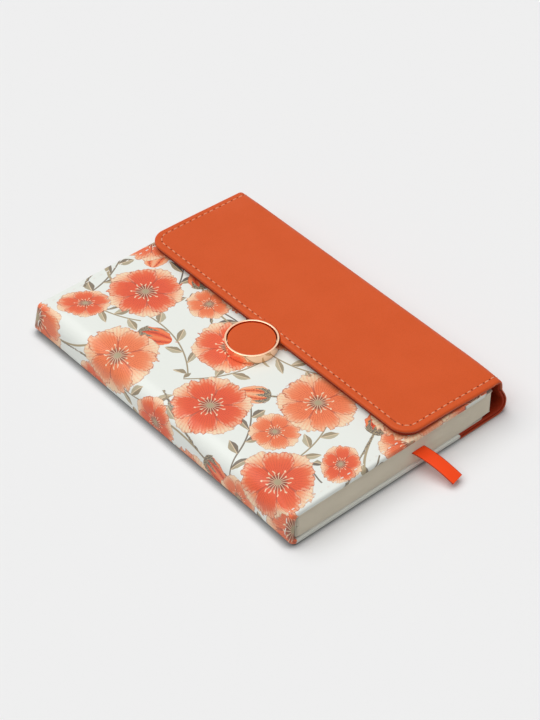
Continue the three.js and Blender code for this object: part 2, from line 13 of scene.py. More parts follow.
import bpy
import numpy as np
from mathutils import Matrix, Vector


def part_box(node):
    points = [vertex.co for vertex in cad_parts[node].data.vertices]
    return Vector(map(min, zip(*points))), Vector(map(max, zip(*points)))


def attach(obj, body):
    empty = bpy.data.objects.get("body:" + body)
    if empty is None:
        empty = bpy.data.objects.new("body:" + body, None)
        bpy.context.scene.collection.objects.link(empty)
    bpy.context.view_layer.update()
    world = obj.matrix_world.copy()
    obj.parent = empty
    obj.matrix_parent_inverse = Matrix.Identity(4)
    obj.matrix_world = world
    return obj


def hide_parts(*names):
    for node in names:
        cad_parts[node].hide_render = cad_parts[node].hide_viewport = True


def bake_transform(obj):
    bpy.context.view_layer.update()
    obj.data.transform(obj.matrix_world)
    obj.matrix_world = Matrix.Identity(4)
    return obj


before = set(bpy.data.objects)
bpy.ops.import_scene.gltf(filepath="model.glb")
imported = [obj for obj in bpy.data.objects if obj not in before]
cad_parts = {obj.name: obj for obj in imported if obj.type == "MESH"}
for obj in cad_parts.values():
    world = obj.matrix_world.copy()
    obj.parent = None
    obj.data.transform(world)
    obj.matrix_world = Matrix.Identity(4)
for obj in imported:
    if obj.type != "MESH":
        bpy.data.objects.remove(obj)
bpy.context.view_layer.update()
LOG = logging.getLogger("notebook")
MM = 0.001
SEED = 7
SHARP_ANGLE = math.radians(42)

Array = np.ndarray
Placer = Callable[[Array, Array], Array]
Value = Union["Field", float]


def srgb(code: str) -> tuple[float, ...]:
    """Turns a hex colour into linear light.

    Args:
        code: six hex digits.

    Returns:
        Red, green, blue and alpha from 0 to 1.
    """
    parts = [int(code[i : i + 2], 16) / 255 for i in (0, 2, 4)]
    return (*(p / 12.92 if p <= 0.04045 else ((p + 0.055) / 1.055) ** 2.4 for p in parts), 1.0)


class Body(Enum):
    """The rigid bodies that pieces ride on."""

    BOOK = "book"
    GUSSET = "gusset"
    FLAP = "flap"
    RIBBON = "ribbon"


class Slot(Enum):
    """The record's material slots."""

    PRINT = "print"
    BOARD = "board"
    PAPER = "paper"
    GAUZE = "gauze"
    RIBBON = "ribbon"
    LEATHER = "leather"
    LINING = "lining"
    THREAD = "thread"
    COVER_THREAD = "cover_thread"
    GOLD = "gold"
    STEEL = "steel"


class Tint(Enum):
    """The print's inks, and the grey that it throws onto the table."""

    GROUND = "e9ece6"
    GROUND_SHADE = "dfe3da"
    TURN_IN = "dcddd4"
    CORAL = "e2552f"
    ORANGE = "ee8150"
    PEACH = "f2b68c"
    CREAM = "f1d9b6"
    DEEP = "a93a22"
    CORE = "6d3a2a"
    OLIVE = "a9997a"
    SAGE = "c9bfa2"
    BARK = "5d544f"
    BOUNCE = "a9aaa8"


@dataclass(frozen=True)
class Finish:
    """A material and the record's slot for it."""

    material: bpy.types.Material
    slot: Slot


@dataclass(frozen=True)
class Box:
    """The lowest and highest corner of a node of the frame."""

    low: Vector
    high: Vector

    @classmethod
    def of(cls, node: str) -> "Box":
        """The box of one node at rest."""
        low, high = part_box(node)
        return cls(Vector(low), Vector(high))

    @property
    def size(self) -> Vector:
        """Its sides."""
        return self.high - self.low

    @property
    def middle(self) -> Vector:
        """Its middle."""
        return (self.low + self.high) / 2


@dataclass
class Surface:
    """Points, faces and flat coordinates, before they become a mesh.

    A face is four point numbers; a three-sided one repeats its last.
    """

    points: Array
    faces: Array
    flat: Array
    row: Array | None = None
    edge: Array | None = None

    @staticmethod
    def joined(parts: Sequence["Surface"]) -> "Surface":
        """Puts several surfaces into one, each still closed in itself.

        Args:
            parts: the surfaces, which have no rows and no edge values.

        Returns:
            The one surface.
        """
        starts = np.cumsum([0] + [len(p.points) for p in parts[:-1]])
        faces = np.concatenate([p.faces + start for p, start in zip(parts, starts)])
        points, flat = (np.concatenate([getattr(p, name) for p in parts]) for name in ("points", "flat"))
        return Surface(points, faces, flat)


def grid_faces(rows: int, columns: int, closed: bool = False) -> Array:
    """Faces between the neighbours of a grid of points that is numbered row by row.

    Args:
        rows: number of rows.
        columns: number of columns.
        closed: whether the last column joins the first.

    Returns:
        An array of faces that turn anticlockwise where rows run up and columns run right.
    """
    across = columns if closed else columns - 1
    row, column = np.meshgrid(np.arange(rows - 1), np.arange(across), indexing="ij")
    after = (column + 1) % columns
    near, far = row * columns, (row + 1) * columns
    return np.stack([near + column, near + after, far + after, far + column], -1).reshape(-1, 4)


def fan(near: Array, far: Array, pole: int) -> Array:
    """Three-sided faces from the pairs of neighbours on a ring to a pole."""
    tip = np.full(len(near), pole)
    return np.stack([near, far, tip, tip], -1)


def turned(profile: Array, steps: int = 128) -> Surface:
    """Turns a profile about the Z axis: x = r cos a, y = r sin a, z = z.

    Args:
        profile: radius and height pairs from the bottom pole to the top pole, radius 0 at both.
        steps: number of steps round the axis.

    Returns:
        A closed surface about the origin, with its outside on the profile's right.
    """
    angle = np.linspace(0, 2 * math.pi, steps, endpoint=False)
    ring = profile[1:-1]
    x, y = ring[:, :1] * np.cos(angle), ring[:, :1] * np.sin(angle)
    rings = np.stack([x, y, np.repeat(ring[:, 1:], steps, axis=1)], -1).reshape(-1, 3)
    points = np.concatenate([rings, [[0, 0, profile[0, 1]], [0, 0, profile[-1, 1]]]])
    count, here = len(rings), np.arange(steps)
    after, top = (here + 1) % steps, count - steps
    ends = fan(after, here, count), fan(top + here, top + after, count + 1)
    return Surface(points, np.concatenate([grid_faces(len(ring), steps, True), *ends]), points[:, :2])


def arc(centre: Sequence[float], radius: float, start: float, end: float, steps: int = 8) -> Array:
    """Points on an arc: centre + radius (cos a, sin a), with a in degrees from start to end."""
    angle = np.radians(np.linspace(start, end, steps + 1))
    return np.stack([centre[0] + radius * np.cos(angle), centre[1] + radius * np.sin(angle)], -1)


def through(points: Array, steps: int) -> Array:
    """A smooth line through points: on each span a cubic whose end slopes join the neighbours.

    Args:
        points: the points it runs through.
        steps: number of steps between two of them.

    Returns:
        The points of the line.
    """
    padded = np.concatenate([points[:1], points, points[-1:]])
    t = np.linspace(0, 1, steps, endpoint=False)[None, :, None]
    p0, p1, p2, p3 = (padded[i : len(points) - 1 + i][:, None] for i in range(4))
    m1, m2 = (p2 - p0) / 2, (p3 - p1) / 2
    line = p1 + m1 * t + (3 * (p2 - p1) - 2 * m1 - m2) * t**2 + (2 * (p1 - p2) + m1 + m2) * t**3
    return np.concatenate([line.reshape(-1, points.shape[1]), points[-1:]])


def path_length(points: Array) -> Array:
    """Distance along a path to each of its points, from its first."""
    step = np.linalg.norm(np.diff(points, axis=0), axis=1)
    return np.concatenate([[0], np.cumsum(step)])


def at_length(points: Array, where: Array) -> Array:
    """The points at given distances along a path, on straight lines between its own."""
    length = path_length(points)
    return np.stack([np.interp(where, length, points[:, i]) for i in range(points.shape[1])], -1)


def soft_step(value: Array, low: float, high: float) -> Array:
    """0 below low, 1 above high and a smooth cubic between them: t t (3 - 2 t)."""
    t = np.clip((value - low) / (high - low), 0, 1)
    return t * t * (3 - 2 * t)


def unit(vectors: Array) -> Array:
    """Vectors at length 1."""
    return vectors / np.linalg.norm(vectors, axis=-1, keepdims=True)


def plan_grid(column: Array, half: Array | float, rows: int, middle: float = 0) -> Array:
    """A sheet's flat grid: rows spread over the width at each place along it.

    Args:
        column: places along the sheet.
        half: half the width, one for all places or one for each.
        rows: number of rows.
        middle: where the middle row lies.

    Returns:
        The grid, with rows first.
    """
    across = middle + np.linspace(-1, 1, rows)[:, None] * np.broadcast_to(half, column.shape)
    return np.stack([np.broadcast_to(column, across.shape), across], -1)


def round_end(straight: Array, end: float, half: float, corner_r: float, band: float, steps: int) -> tuple:
    """Carries a sheet's column on round its two corners at one end.

    Args:
        straight: places along the sheet before the corners.
        end: the sheet's end.
        half: half its width.
        corner_r: the corners' radius.
        band: width of the band between the grid and the sheet's edge.
        steps: number of points on a corner.

    Returns:
        The whole column and the half width at each of its places.
    """
    turn, r = np.linspace(0, math.pi / 2, steps)[1:], corner_r - band
    column = np.concatenate([straight, end - corner_r + r * np.sin(turn)])
    return column, np.concatenate([np.full(len(straight), half - band), half - corner_r + r * np.cos(turn)])


@dataclass(frozen=True)
class Rim:
    """The profile of a sheet's edge, from its top grid's border round to its bottom grid's.

    out is the distance outwards from the border and depth the distance below the top surface.
    edge is 0 on the surface, 0.5 on a bare cut edge, whose deeper colour is partly its own and partly painted
    shade, and 1 on its pale line, a painted highlight.
    """

    out: Array
    depth: Array
    edge: Array

    @classmethod
    def rolled(
        cls,
        band: float,
        thickness: float,
        top_r: float,
        foot_r: float,
        groove: tuple[float, float] = (0, 0),
        edge: tuple[float, float] = (0, 0),
        levels: tuple[float, float] | None = None,
    ) -> "Rim":
        """A soft rolled edge with a shallow groove along the row of stitches.

        Args:
            band: width of the band between the border and the edge.
            thickness: of the whole sheet.
            top_r: radius of the upper rounding.
            foot_r: radius of the lower rounding.
            groove: depth of the groove, and its distance from the edge.
            edge: the edge value at the end of the upper rounding, and on the side below it.
            levels: depths of the top and bottom grids, where they differ from 0 and the thickness.

        Returns:
            The rim, with the upper rounding, the side and the lower rounding.
        """
        flat = np.linspace(0, band - top_r, 14 if groove[0] else 5)[:-1]
        upper = arc((band - top_r, 0), top_r, 90, 0, 7)
        lower = arc((band - foot_r, 0), foot_r, 0, -90, 5)
        sunk = groove[0] * np.exp(-(((flat - (band - groove[1])) / (0.45 * MM)) ** 2))
        depth = np.concatenate([sunk, top_r - upper[:, 1], thickness - foot_r - lower[:, 1], [thickness]])
        if levels is not None:
            depth[0], depth[-1] = levels
        out = np.concatenate([flat, upper[:, 0], lower[:, 0], [0]])
        shown = np.zeros(len(out))
        shown[len(flat) + 7] = edge[0]
        shown[len(flat) + 8 :] = edge[1]
        return cls(out, depth, shown)

    def sunk(self, depth: float) -> "Rim":
        """The same rim at a greater depth."""
        return Rim(self.out, self.depth + depth, self.edge)


@dataclass
class Sheet:
    """A closed thick sheet: a top grid, a rim carried round its border, and a bottom grid.

    plan holds the grid's flat coordinates, rows along the second one. flush names the sides that
    are cut off plainly where another sheet goes on: "left", "right". reach scales the rim's width
    at each border point.
    """

    plan: Array
    rim: Rim
    place: Placer
    flush: tuple[str, ...] = ()
    stitch_row: float = 0
    pitch: float = 1
    reach: Array | None = None

    def border(self) -> Array:
        """Numbers of the grid's border points, anticlockwise."""
        number = np.arange(self.plan[..., 0].size).reshape(self.plan.shape[:2])
        return np.concatenate([number[0], number[1:, -1], number[-1, -2::-1], number[-2:0:-1, 0]])

    def outwards(self) -> Array:
        """The step outwards at each border point: the mitre of its two edges' normals.

        Returns:
            A flat vector for each border point.
        """
        loop = self.plan.reshape(-1, 2)[self.border()]
        ahead = unit(np.roll(loop, -1, axis=0) - loop)
        normal = np.stack([ahead[:, 1], -ahead[:, 0]], -1)
        before = np.roll(normal, 1, axis=0)
        mitre = (normal + before) / (1 + (normal * before).sum(1, keepdims=True))
        rows, columns = self.plan.shape[:2]
        if "right" in self.flush:
            mitre[columns - 1] = (0, -1)
            mitre[columns : columns + rows - 2] = 0
            mitre[columns + rows - 2] = (0, 1)
        if "left" in self.flush:
            last = 2 * columns + rows - 3
            mitre[0] = (0, -1)
            mitre[last + 1 :] = 0
            mitre[last] = (0, 1)
        return mitre

    def row_path(self) -> Array:
        """The border carried out to the row of stitches, back to its first point."""
        path = self.plan.reshape(-1, 2)[self.border()] + self.outwards() * self.stitch_row
        return np.concatenate([path, path[:1]])

    def surface(self) -> Surface:
        """Builds the sheet.

        Returns:
            The closed surface. Its row coordinates are the place along the stitches, in stitches,
            and the distance from them, in stitches. Its flat coordinates follow the rim's surface.
        """
        rows, columns = self.plan.shape[:2]
        top, border = self.plan.reshape(-1, 2), self.border()
        count, loop, steps = len(top), len(border), len(self.rim.out)
        ahead = self.outwards() * (1 if self.reach is None else self.reach[:, None])

        def filled(first: object, rim: Array, last: object) -> Array:
            """Values for the top grid's points, the rim's and the bottom grid's."""
            return np.concatenate([np.full(count, first), np.repeat(rim[1:-1], loop), np.full(count, last)])

        def carried(out: Array) -> Array:
            """The top grid, the border carried out by each distance, and the bottom grid."""
            band = top[border] + ahead * out[1:-1, None, None]
            return np.concatenate([top, band.reshape(-1, 2), top])

        depth = filled(self.rim.depth[0], self.rim.depth, self.rim.depth[-1])
        points = self.place(carried(self.rim.out), depth)
        flat = carried(path_length(np.stack([self.rim.out, self.rim.depth], -1)))
        along = path_length(self.row_path())[:-1] / self.pitch
        across = (self.rim.out - self.stitch_row) / self.pitch
        far = np.full((count, 2), -50.0)
        far[border] = np.stack([along, np.full(loop, across[0])], -1)
        beside = np.stack(np.broadcast_arrays(along, across[1:-1, None]), -1).reshape(-1, 2)
        row = np.concatenate([far, beside, far - 99])
        first = count + np.arange(loop)
        last, under = first + (steps - 3) * loop, count + (steps - 2) * loop
        faces = [grid_faces(rows, columns), grid_faces(rows, columns)[:, ::-1] + under]
        faces.append(grid_faces(steps - 2, loop, True)[:, ::-1] + count)
        for near, beyond in ((border, first), (last, under + border)):
            faces.append(np.stack([near, beyond, np.roll(beyond, -1), np.roll(near, -1)], -1))
        return Surface(points, np.concatenate(faces), flat, row, filled(0, self.rim.edge, 0))


@dataclass(frozen=True)
class Section:
    """A bent sheet's section: an outer and an inner line in X and Z, matched point by point.

    A flat point (u, y) at depth d lies at outer(u) + (inner(u) - outer(u)) d / thickness, with u
    measured along the outer line.
    """

    outer: Array
    inner: Array
    thickness: float

    @property
    def length(self) -> Array:
        """Distance along the outer line to each of its points."""
        return path_length(self.outer)

    def place(self, flat: Array, depth: Array) -> Array:
        """Bends flat points to their places.

        Args:
            flat: distance along the section, and Y.
            depth: distance below the outer surface.

        Returns:
            Their places in the frame.
        """
        length, u = self.length, flat[:, 0]
        outer, inner = (
            np.stack([np.interp(u, length, line[:, i]) for i in (0, 1)], -1)
            for line in (self.outer, self.inner)
        )
        for end, slope in ((0, -1), (-1, 1)):
            beyond = np.clip(slope * (u - length[end]), 0, None)[:, None]
            ahead = unit(self.outer[end] - self.outer[end - slope])
            outer, inner = outer + beyond * ahead, inner + beyond * ahead
        point = outer + (inner - outer) * (depth / self.thickness)[:, None]
        return np.stack([point[:, 0], flat[:, 1], point[:, 1]], -1)


@dataclass(frozen=True)
class Stitch:
    """One stitch's shape: a thread that rises from one hole and dips into the next."""

    length: float = 2.1 * MM
    width: float = 0.45 * MM
    height: float = 0.32 * MM
    rise: float = 0.06 * MM
    dip: float = 0.4 * MM
    around: int = 8
    steps: int = 7

    def row(self, where: Array, line: Callable[[Array], Array], place: Placer) -> Surface:
        """Lays a row of stitches: line + side w cos b + up h sin b, closed at each end.

        Args:
            where: the middles of the stitches, as distances along the row.
            line: gives the flat points at given distances.
            place: bends flat points at given depths into the frame.

        Returns:
            All the stitches as one surface.
        """
        around, steps = self.around, self.steps
        t = np.sin(np.linspace(-1, 1, steps) * math.pi / 2)
        flat = line((where[:, None] + t * self.length / 2).ravel())
        depth = np.tile(self.dip * t**4 - self.rise, len(where))
        path = place(flat, depth)
        up = unit(path - place(flat, depth + 0.05 * MM)).reshape(-1, steps, 3)
        path = path.reshape(-1, steps, 3)
        side = unit(np.cross(np.gradient(path, axis=1), up))
        turn = np.linspace(0, 2 * math.pi, around, endpoint=False)
        thin = np.sqrt(np.clip(1 - (np.abs(t) ** 5) * 0.8, 0, 1))[None, :, None, None]
        ring = side[:, :, None] * np.cos(turn)[:, None] * self.width / 2
        ring = ring + up[:, :, None] * np.sin(turn)[:, None] * self.height / 2
        rings = (path[:, :, None] + ring * thin).reshape(len(where), -1, 3)
        points = np.concatenate([rings, path[:, :1], path[:, -1:]], 1)
        count, here = steps * around, np.arange(around)
        after, last = (here + 1) % around, count - around
        ends = fan(after, here, count), fan(last + here, last + after, count + 1)
        faces = np.concatenate([grid_faces(steps, around, True), *ends])
        faces = (faces[None] + (np.arange(len(where)) * (count + 2))[:, None, None]).reshape(-1, 4)
        along = np.concatenate([np.repeat(t * self.length / 2, around), [0, 0]])
        across = np.concatenate([np.tile(turn, steps), [0, 0]])
        return Surface(points.reshape(-1, 3), faces, np.tile(np.stack([along, across], -1), (len(where), 1)))


def make_piece(
    name: str, surface: Surface, finish: Finish, replaced: Sequence[str], body: Body | None = None
) -> bpy.types.Object:
    """Puts a surface into a mesh object at the origin, in place of nodes of the frame.

    Args:
        name: the piece's name.
        surface: its points and faces.
        finish: its material and slot.
        replaced: the nodes that it stands in for.
        body: the body that it rides on; none leaves the piece on no body.

    Returns:
        The object, smooth but for its sharp edges.
    """
    keep = np.ones(surface.faces.shape, bool)
    keep[:, 3] = surface.faces[:, 3] != surface.faces[:, 2]
    corners = surface.faces[keep]
    starts = np.concatenate([[0], np.cumsum(keep.sum(1))[:-1]])
    mesh = bpy.data.meshes.new(name)
    mesh.vertices.add(len(surface.points))
    mesh.vertices.foreach_set("co", surface.points.astype(np.float32).ravel())
    mesh.loops.add(len(corners))
    mesh.loops.foreach_set("vertex_index", corners.astype(np.int32))
    mesh.polygons.add(len(starts))
    mesh.polygons.foreach_set("loop_start", starts.astype(np.int32))
    for layer, values in (("flat", surface.flat), ("row", surface.row)):
        if values is not None:
            mesh.uv_layers.new(name=layer).data.foreach_set("uv", values[corners].astype(np.float32).ravel())
    if surface.edge is not None:
        edge = mesh.attributes.new("edge", "FLOAT", "POINT")
        edge.data.foreach_set("value", surface.edge.astype(np.float32))
    mesh.update(calc_edges=True)
    mesh.validate()
    mesh.shade_smooth()
    mesh.set_sharp_from_angle(angle=SHARP_ANGLE)
    mesh.materials.append(finish.material)
    piece = bpy.data.objects.new(name, mesh)
    bpy.context.scene.collection.objects.link(piece)
    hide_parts(*replaced)
    if body is not None:
        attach(piece, body.value)
    LOG.info("%s: %d faces", name, len(surface.faces))
    return piece


def arithmetic(operation: str, swapped: bool = False) -> Callable[..., "Field"]:
    """Makes a method of Field that adds one node of arithmetic.

    Args:
        operation: the node's operation.
        swapped: whether the field comes second.

    Returns:
        The method.
    """

    def method(field_in: "Field", *others: Value) -> "Field":
        """The node's result."""
        values = (*others, field_in) if swapped else (field_in, *others)
        return field_in.graph.maths(operation, *values)

    return method


@dataclass(frozen=True, eq=False)
class Field:
    """A value that flows through a node tree; each sign or call adds one node."""

    graph: "Graph"
    socket: bpy.types.NodeSocket

    __add__ = arithmetic("ADD")
    __sub__ = arithmetic("SUBTRACT")
    __rsub__ = arithmetic("SUBTRACT", swapped=True)
    __mul__ = arithmetic("MULTIPLY")
    __truediv__ = arithmetic("DIVIDE")
    __pow__ = arithmetic("POWER")
    __abs__ = arithmetic("ABSOLUTE")
    sine = arithmetic("SINE")
    root = arithmetic("SQRT")
    fraction = arithmetic("FRACT")
    floor = arithmetic("FLOOR")
    at_least = arithmetic("MAXIMUM")
    at_most = arithmetic("MINIMUM")


class Graph:
    """Short calls that build a node tree."""

    def __init__(self, tree: bpy.types.NodeTree, end: bpy.types.Node) -> None:
        """Keeps the tree and its last node."""
        self.tree, self.end = tree, end

    def feed(self, socket: bpy.types.NodeSocket, value: object) -> None:
        """Links a field to a socket, or sets the socket's value.

        Args:
            socket: the socket.
            value: a field, a number, a vector, a hex colour or a tint; None leaves the socket alone.
        """
        value = value.value if isinstance(value, Enum) else value
        value = srgb(value) if isinstance(value, str) else value
        if isinstance(value, Field):
            self.tree.links.new(value.socket, socket)
        elif value is not None:
            socket.default_value = value

    def feed_all(self, node: bpy.types.Node, values: dict[str, object]) -> None:
        """Feeds a node's inputs, named with spaces as underlines."""
        for name, value in values.items():
            self.feed(node.inputs[name.replace("_", " ")], value)

    def give(self, **values: object) -> bpy.types.NodeTree:
        """Feeds the last node and returns the tree."""
        self.feed_all(self.end, values)
        return self.tree

    def add(
        self,
        kind: str,
        fed: Iterable[tuple[int | str, object]] = (),
        output: int | str = 0,
        **settings: object,
    ) -> Field:
        """Adds a node.

        Args:
            kind: the node's type.
            fed: inputs, by number or name, and what goes in.
            output: the output wanted, by number or name.
            settings: the node's properties.

        Returns:
            The output.
        """
        made = self.tree.nodes.new(kind)
        for name, value in settings.items():
            setattr(made, name, value)
        for key, value in fed:
            self.feed(made.inputs[key], value)
        return Field(self, made.outputs[output])

    def group(self, tree: bpy.types.NodeTree, **inputs: object) -> dict[str, Field]:
        """Places a group.

        Args:
            tree: the group's tree.
            inputs: what goes in, named with spaces as underlines.

        Returns:
            Its outputs by name.
        """
        made = self.tree.nodes.new("ShaderNodeGroup")
        made.node_tree = tree
        self.feed_all(made, inputs)
        return {out.name: Field(self, out) for out in made.outputs}

    def maths(self, operation: str, *values: Value) -> Field:
        """One step of arithmetic."""
        return self.add("ShaderNodeMath", enumerate(values), operation=operation)

    def vector(self, operation: str, *values: object) -> Field:
        """One step of arithmetic on vectors."""
        output = "Value" if operation == "LENGTH" else "Vector"
        return self.add("ShaderNodeVectorMath", enumerate(values), output, operation=operation)

    def scaled(self, vector: Field, factor: Value) -> Field:
        """A vector times a number."""
        return self.add("ShaderNodeVectorMath", ((0, vector), ("Scale", factor)), "Vector", operation="SCALE")

    def step(self, value: Value, low: Value, high: Value, start: float = 0, end: float = 1) -> Field:
        """A smooth step from start, where value is low, to end, where it is high."""
        fed = enumerate((value, low, high, start, end))
        return self.add("ShaderNodeMapRange", fed, interpolation_type="SMOOTHSTEP")

    def mix(self, factor: Value, first: object, second: object) -> Field:
        """Mixes two colours."""
        return self.add("ShaderNodeMix", ((0, factor), (6, first), (7, second)), 2, data_type="RGBA")

    def noise(self, vector: Field, scale: Value, detail: float = 3, roughness: float = 0.5) -> Field:
        """Soft noise from 0 to 1."""
        fed = (("Vector", vector), ("Scale", scale), ("Detail", detail), ("Roughness", roughness))
        return self.add("ShaderNodeTexNoise", fed, noise_dimensions="3D")

    def cells(self, vector: Field, scale: Value, feature: str = "F1") -> Field:
        """Distance in a field of cells."""
        fed = (("Vector", vector), ("Scale", scale))
        return self.add("ShaderNodeTexVoronoi", fed, "Distance", feature=feature)

    def split(self, vector: Field) -> list[Field]:
        """The three parts of a vector."""
        made = self.add("ShaderNodeSeparateXYZ", ((0, vector),)).socket.node
        return [Field(self, out) for out in made.outputs]

    def combine(self, *parts: Value) -> Field:
        """A vector from its parts."""
        return self.add("ShaderNodeCombineXYZ", enumerate(parts))

    def place(self, output: str = "Object") -> Field:
        """The point's own place on the object, in metres, or its normal."""
        return self.add("ShaderNodeTexCoord", output=output)

    def flat(self, layer: str = "flat") -> Field:
        """The point's place on the flat sheet, or in the row of stitches."""
        return self.add("ShaderNodeUVMap", uv_map=layer)

    def ray(self, kind: str) -> Field:
        """1 for rays of a kind."""
        return self.add("ShaderNodeLightPath", output=f"Is {kind} Ray")

    def bump(self, height: Field, distance: float, strength: float = 1, normal: Field | None = None) -> Field:
        """A normal that a height field bends."""
        fed = (("Height", height), ("Distance", distance), ("Strength", strength), ("Normal", normal))
        return self.add("ShaderNodeBump", fed)


def new_group(
    name: str, inputs: dict[str, object], outputs: dict[str, str]
) -> tuple[Graph, dict[str, Field]]:
    """Starts a shader node group.

    Args:
        name: the group's name.
        inputs: each input's default: a number, a vector of three or a colour of four.
        outputs: each output's type: Float, Vector or Color.

    Returns:
        Its graph and its inputs by name.
    """
    tree = bpy.data.node_groups.new(name, "ShaderNodeTree")
    for key, value in inputs.items():
        kind = {1: "Float", 3: "Vector", 4: "Color"}[len(value) if isinstance(value, tuple) else 1]
        tree.interface.new_socket(key, in_out="INPUT", socket_type=f"NodeSocket{kind}").default_value = value
    for key, kind in outputs.items():
        tree.interface.new_socket(key, in_out="OUTPUT", socket_type=f"NodeSocket{kind}")
    source = tree.nodes.new("NodeGroupInput")
    graph = Graph(tree, tree.nodes.new("NodeGroupOutput"))
    return graph, {key: Field(graph, source.outputs[key]) for key in inputs}


def new_material(name: str) -> tuple[Graph, bpy.types.Material]:
    """Starts a material, whose graph ends in its Principled BSDF."""
    material = bpy.data.materials.new(name)
    material.use_nodes = True
    return Graph(material.node_tree, material.node_tree.nodes["Principled BSDF"]), material


@dataclass(frozen=True)
class Effects:
    """The node groups that several materials share."""

    grain: bpy.types.NodeTree
    weave: bpy.types.NodeTree
    fibres: bpy.types.NodeTree
    scuffs: bpy.types.NodeTree

    @classmethod
    def build(cls) -> "Effects":
        """Builds each group once."""
        return cls(cls._grain(), cls._weave(), cls._fibres(), cls._scuffs())

    @staticmethod
    def _grain() -> bpy.types.NodeTree:
        """Leather grain: small pebbles between creases, and a slow change of tone.

        Returns:
            The group.
        """
        inputs = {"Vector": (0.0, 0.0, 0.0), "Pebble": 1400.0, "Tone": 60.0}
        outputs = {"Height": "Float", "Crease": "Float", "Tone": "Float"}
        graph, fed = new_group("leather grain", inputs, outputs)
        warp = graph.noise(fed["Vector"], 900, 2)
        moved = graph.vector("ADD", fed["Vector"], graph.scaled(graph.combine(warp, warp, warp), 0.2 * MM))
        crease = graph.step(graph.cells(moved, fed["Pebble"], "DISTANCE_TO_EDGE"), 0.0, 0.16, 1, 0)
        pores = graph.noise(fed["Vector"], 5200, 2)
        tone = graph.noise(fed["Vector"], fed["Tone"], 4)
        return graph.give(Height=pores * 0.35 - crease * 0.65, Crease=crease, Tone=tone)

    @staticmethod
    def _weave() -> bpy.types.NodeTree:
        """Woven threads: two sets of ridges, the warp floating over the weft.

        Returns:
            The group.
        """
        inputs = {"Vector": (0.0, 0.0, 0.0), "Warp": 4000.0, "Weft": 5200.0}
        graph, fed = new_group("weave", inputs, {"Height": "Float", "Thread": "Float"})
        x, y, _ = graph.split(fed["Vector"])
        threads = ((x, "Warp"), (y, "Weft"))
        warp, weft = (abs((across * (fed[key] * math.pi)).sine()) for across, key in threads)
        thread = graph.noise(graph.vector("MULTIPLY", fed["Vector"], (1, 0.04, 1)), 3500, 2)
        return graph.give(Height=warp * 0.65 + weft * 0.35, Thread=thread)

    @staticmethod
    def _fibres() -> bpy.types.NodeTree:
        """Paper and board: fine fibres, and a slow change of tone.

        Returns:
            The group.
        """
        inputs = {"Vector": (0.0, 0.0, 0.0), "Scale": 900.0}
        graph, fed = new_group("fibres", inputs, {"Height": "Float", "Tone": "Float"})
        height, tone = graph.noise(fed["Vector"], fed["Scale"], 6), graph.noise(fed["Vector"], 70)
        return graph.give(Height=height, Tone=tone)

    @staticmethod
    def _scuffs() -> bpy.types.NodeTree:
        """Metal: hair-thin rubbing marks and faint smudges.

        Returns:
            The group.
        """
        graph, fed = new_group("scuffs", {"Vector": (0.0, 0.0, 0.0)}, {"Height": "Float", "Smudge": "Float"})
        hair = graph.noise(graph.vector("MULTIPLY", fed["Vector"], (1, 12, 1)), 2600)
        return graph.give(Height=hair, Smudge=graph.step(graph.noise(fed["Vector"], 260, 4), 0.4, 0.7))


@dataclass(frozen=True)
class Look:
    """What every finish has: a name, its colour and the shade of its marks, as hex digits."""

    name: str
    colour: str
    shade: str


@dataclass(frozen=True)
class Leather(Look):
    """Smooth coloured leather with a fine grain, and the holes of its stitches."""

    roughness: float = 0.46
    grain: float = 0.02 * MM
    holes: bool = True
    hole: float = 0.07
    hole_depth: float = 0.25 * MM
    painted_hole_shade: str = "3a0d06"
    # cut: the cut edge's deeper colour, partly its own and partly painted shade; line: a painted highlight
    # along the edge
    cut: str = "a3381a"
    line: str = "e59a78"

    def material(self, effects: Effects) -> bpy.types.Material:
        """Builds the material: grain in the bump, tone in the colour, needle holes sunk in the bump and
        darkened with painted shade.

        Args:
            effects: the shared groups.

        Returns:
            The material.
        """
        graph, material = new_material(self.name)
        grain = graph.group(effects.grain, Vector=graph.place())
        colour = graph.mix(graph.step(grain["Tone"], 0.35, 0.65) * 0.14, self.colour, self.shade)
        colour = graph.mix(grain["Crease"] * 0.22, colour, self.shade)
        rough = graph.step(grain["Tone"], 0.2, 0.8, self.roughness - 0.05, self.roughness + 0.07)
        normal = graph.bump(grain["Height"], self.grain)
        if self.holes:
            along, across, _ = graph.split(graph.flat("row"))
            beside = 0.5 - abs(along.fraction() - 0.5)
            gap = graph.vector("LENGTH", graph.combine(beside, across * 0.8))
            pierced = graph.step(gap, self.hole * 0.7, self.hole * 1.5, 1, 0)
            # painted shade in the needle holes: the hole mask mixes in a near-black colour
            colour = graph.mix(pierced * 0.85, colour, self.painted_hole_shade)
            normal = graph.bump(pierced * -1, self.hole_depth, 0.8, normal)
            # the edge attribute gives the cut edge a deeper colour, partly painted shade, and adds a painted
            # highlight line
            edge = graph.add("ShaderNodeAttribute", output="Fac", attribute_name="edge")
            colour = graph.mix(graph.step(edge, 0.1, 0.45), colour, self.cut)
            colour = graph.mix(graph.step(edge, 0.6, 0.9, 0, 0.6), colour, self.line)
        graph.give(Base_Color=colour, Roughness=rough, Normal=normal, Specular_IOR_Level=0.2)
        return material


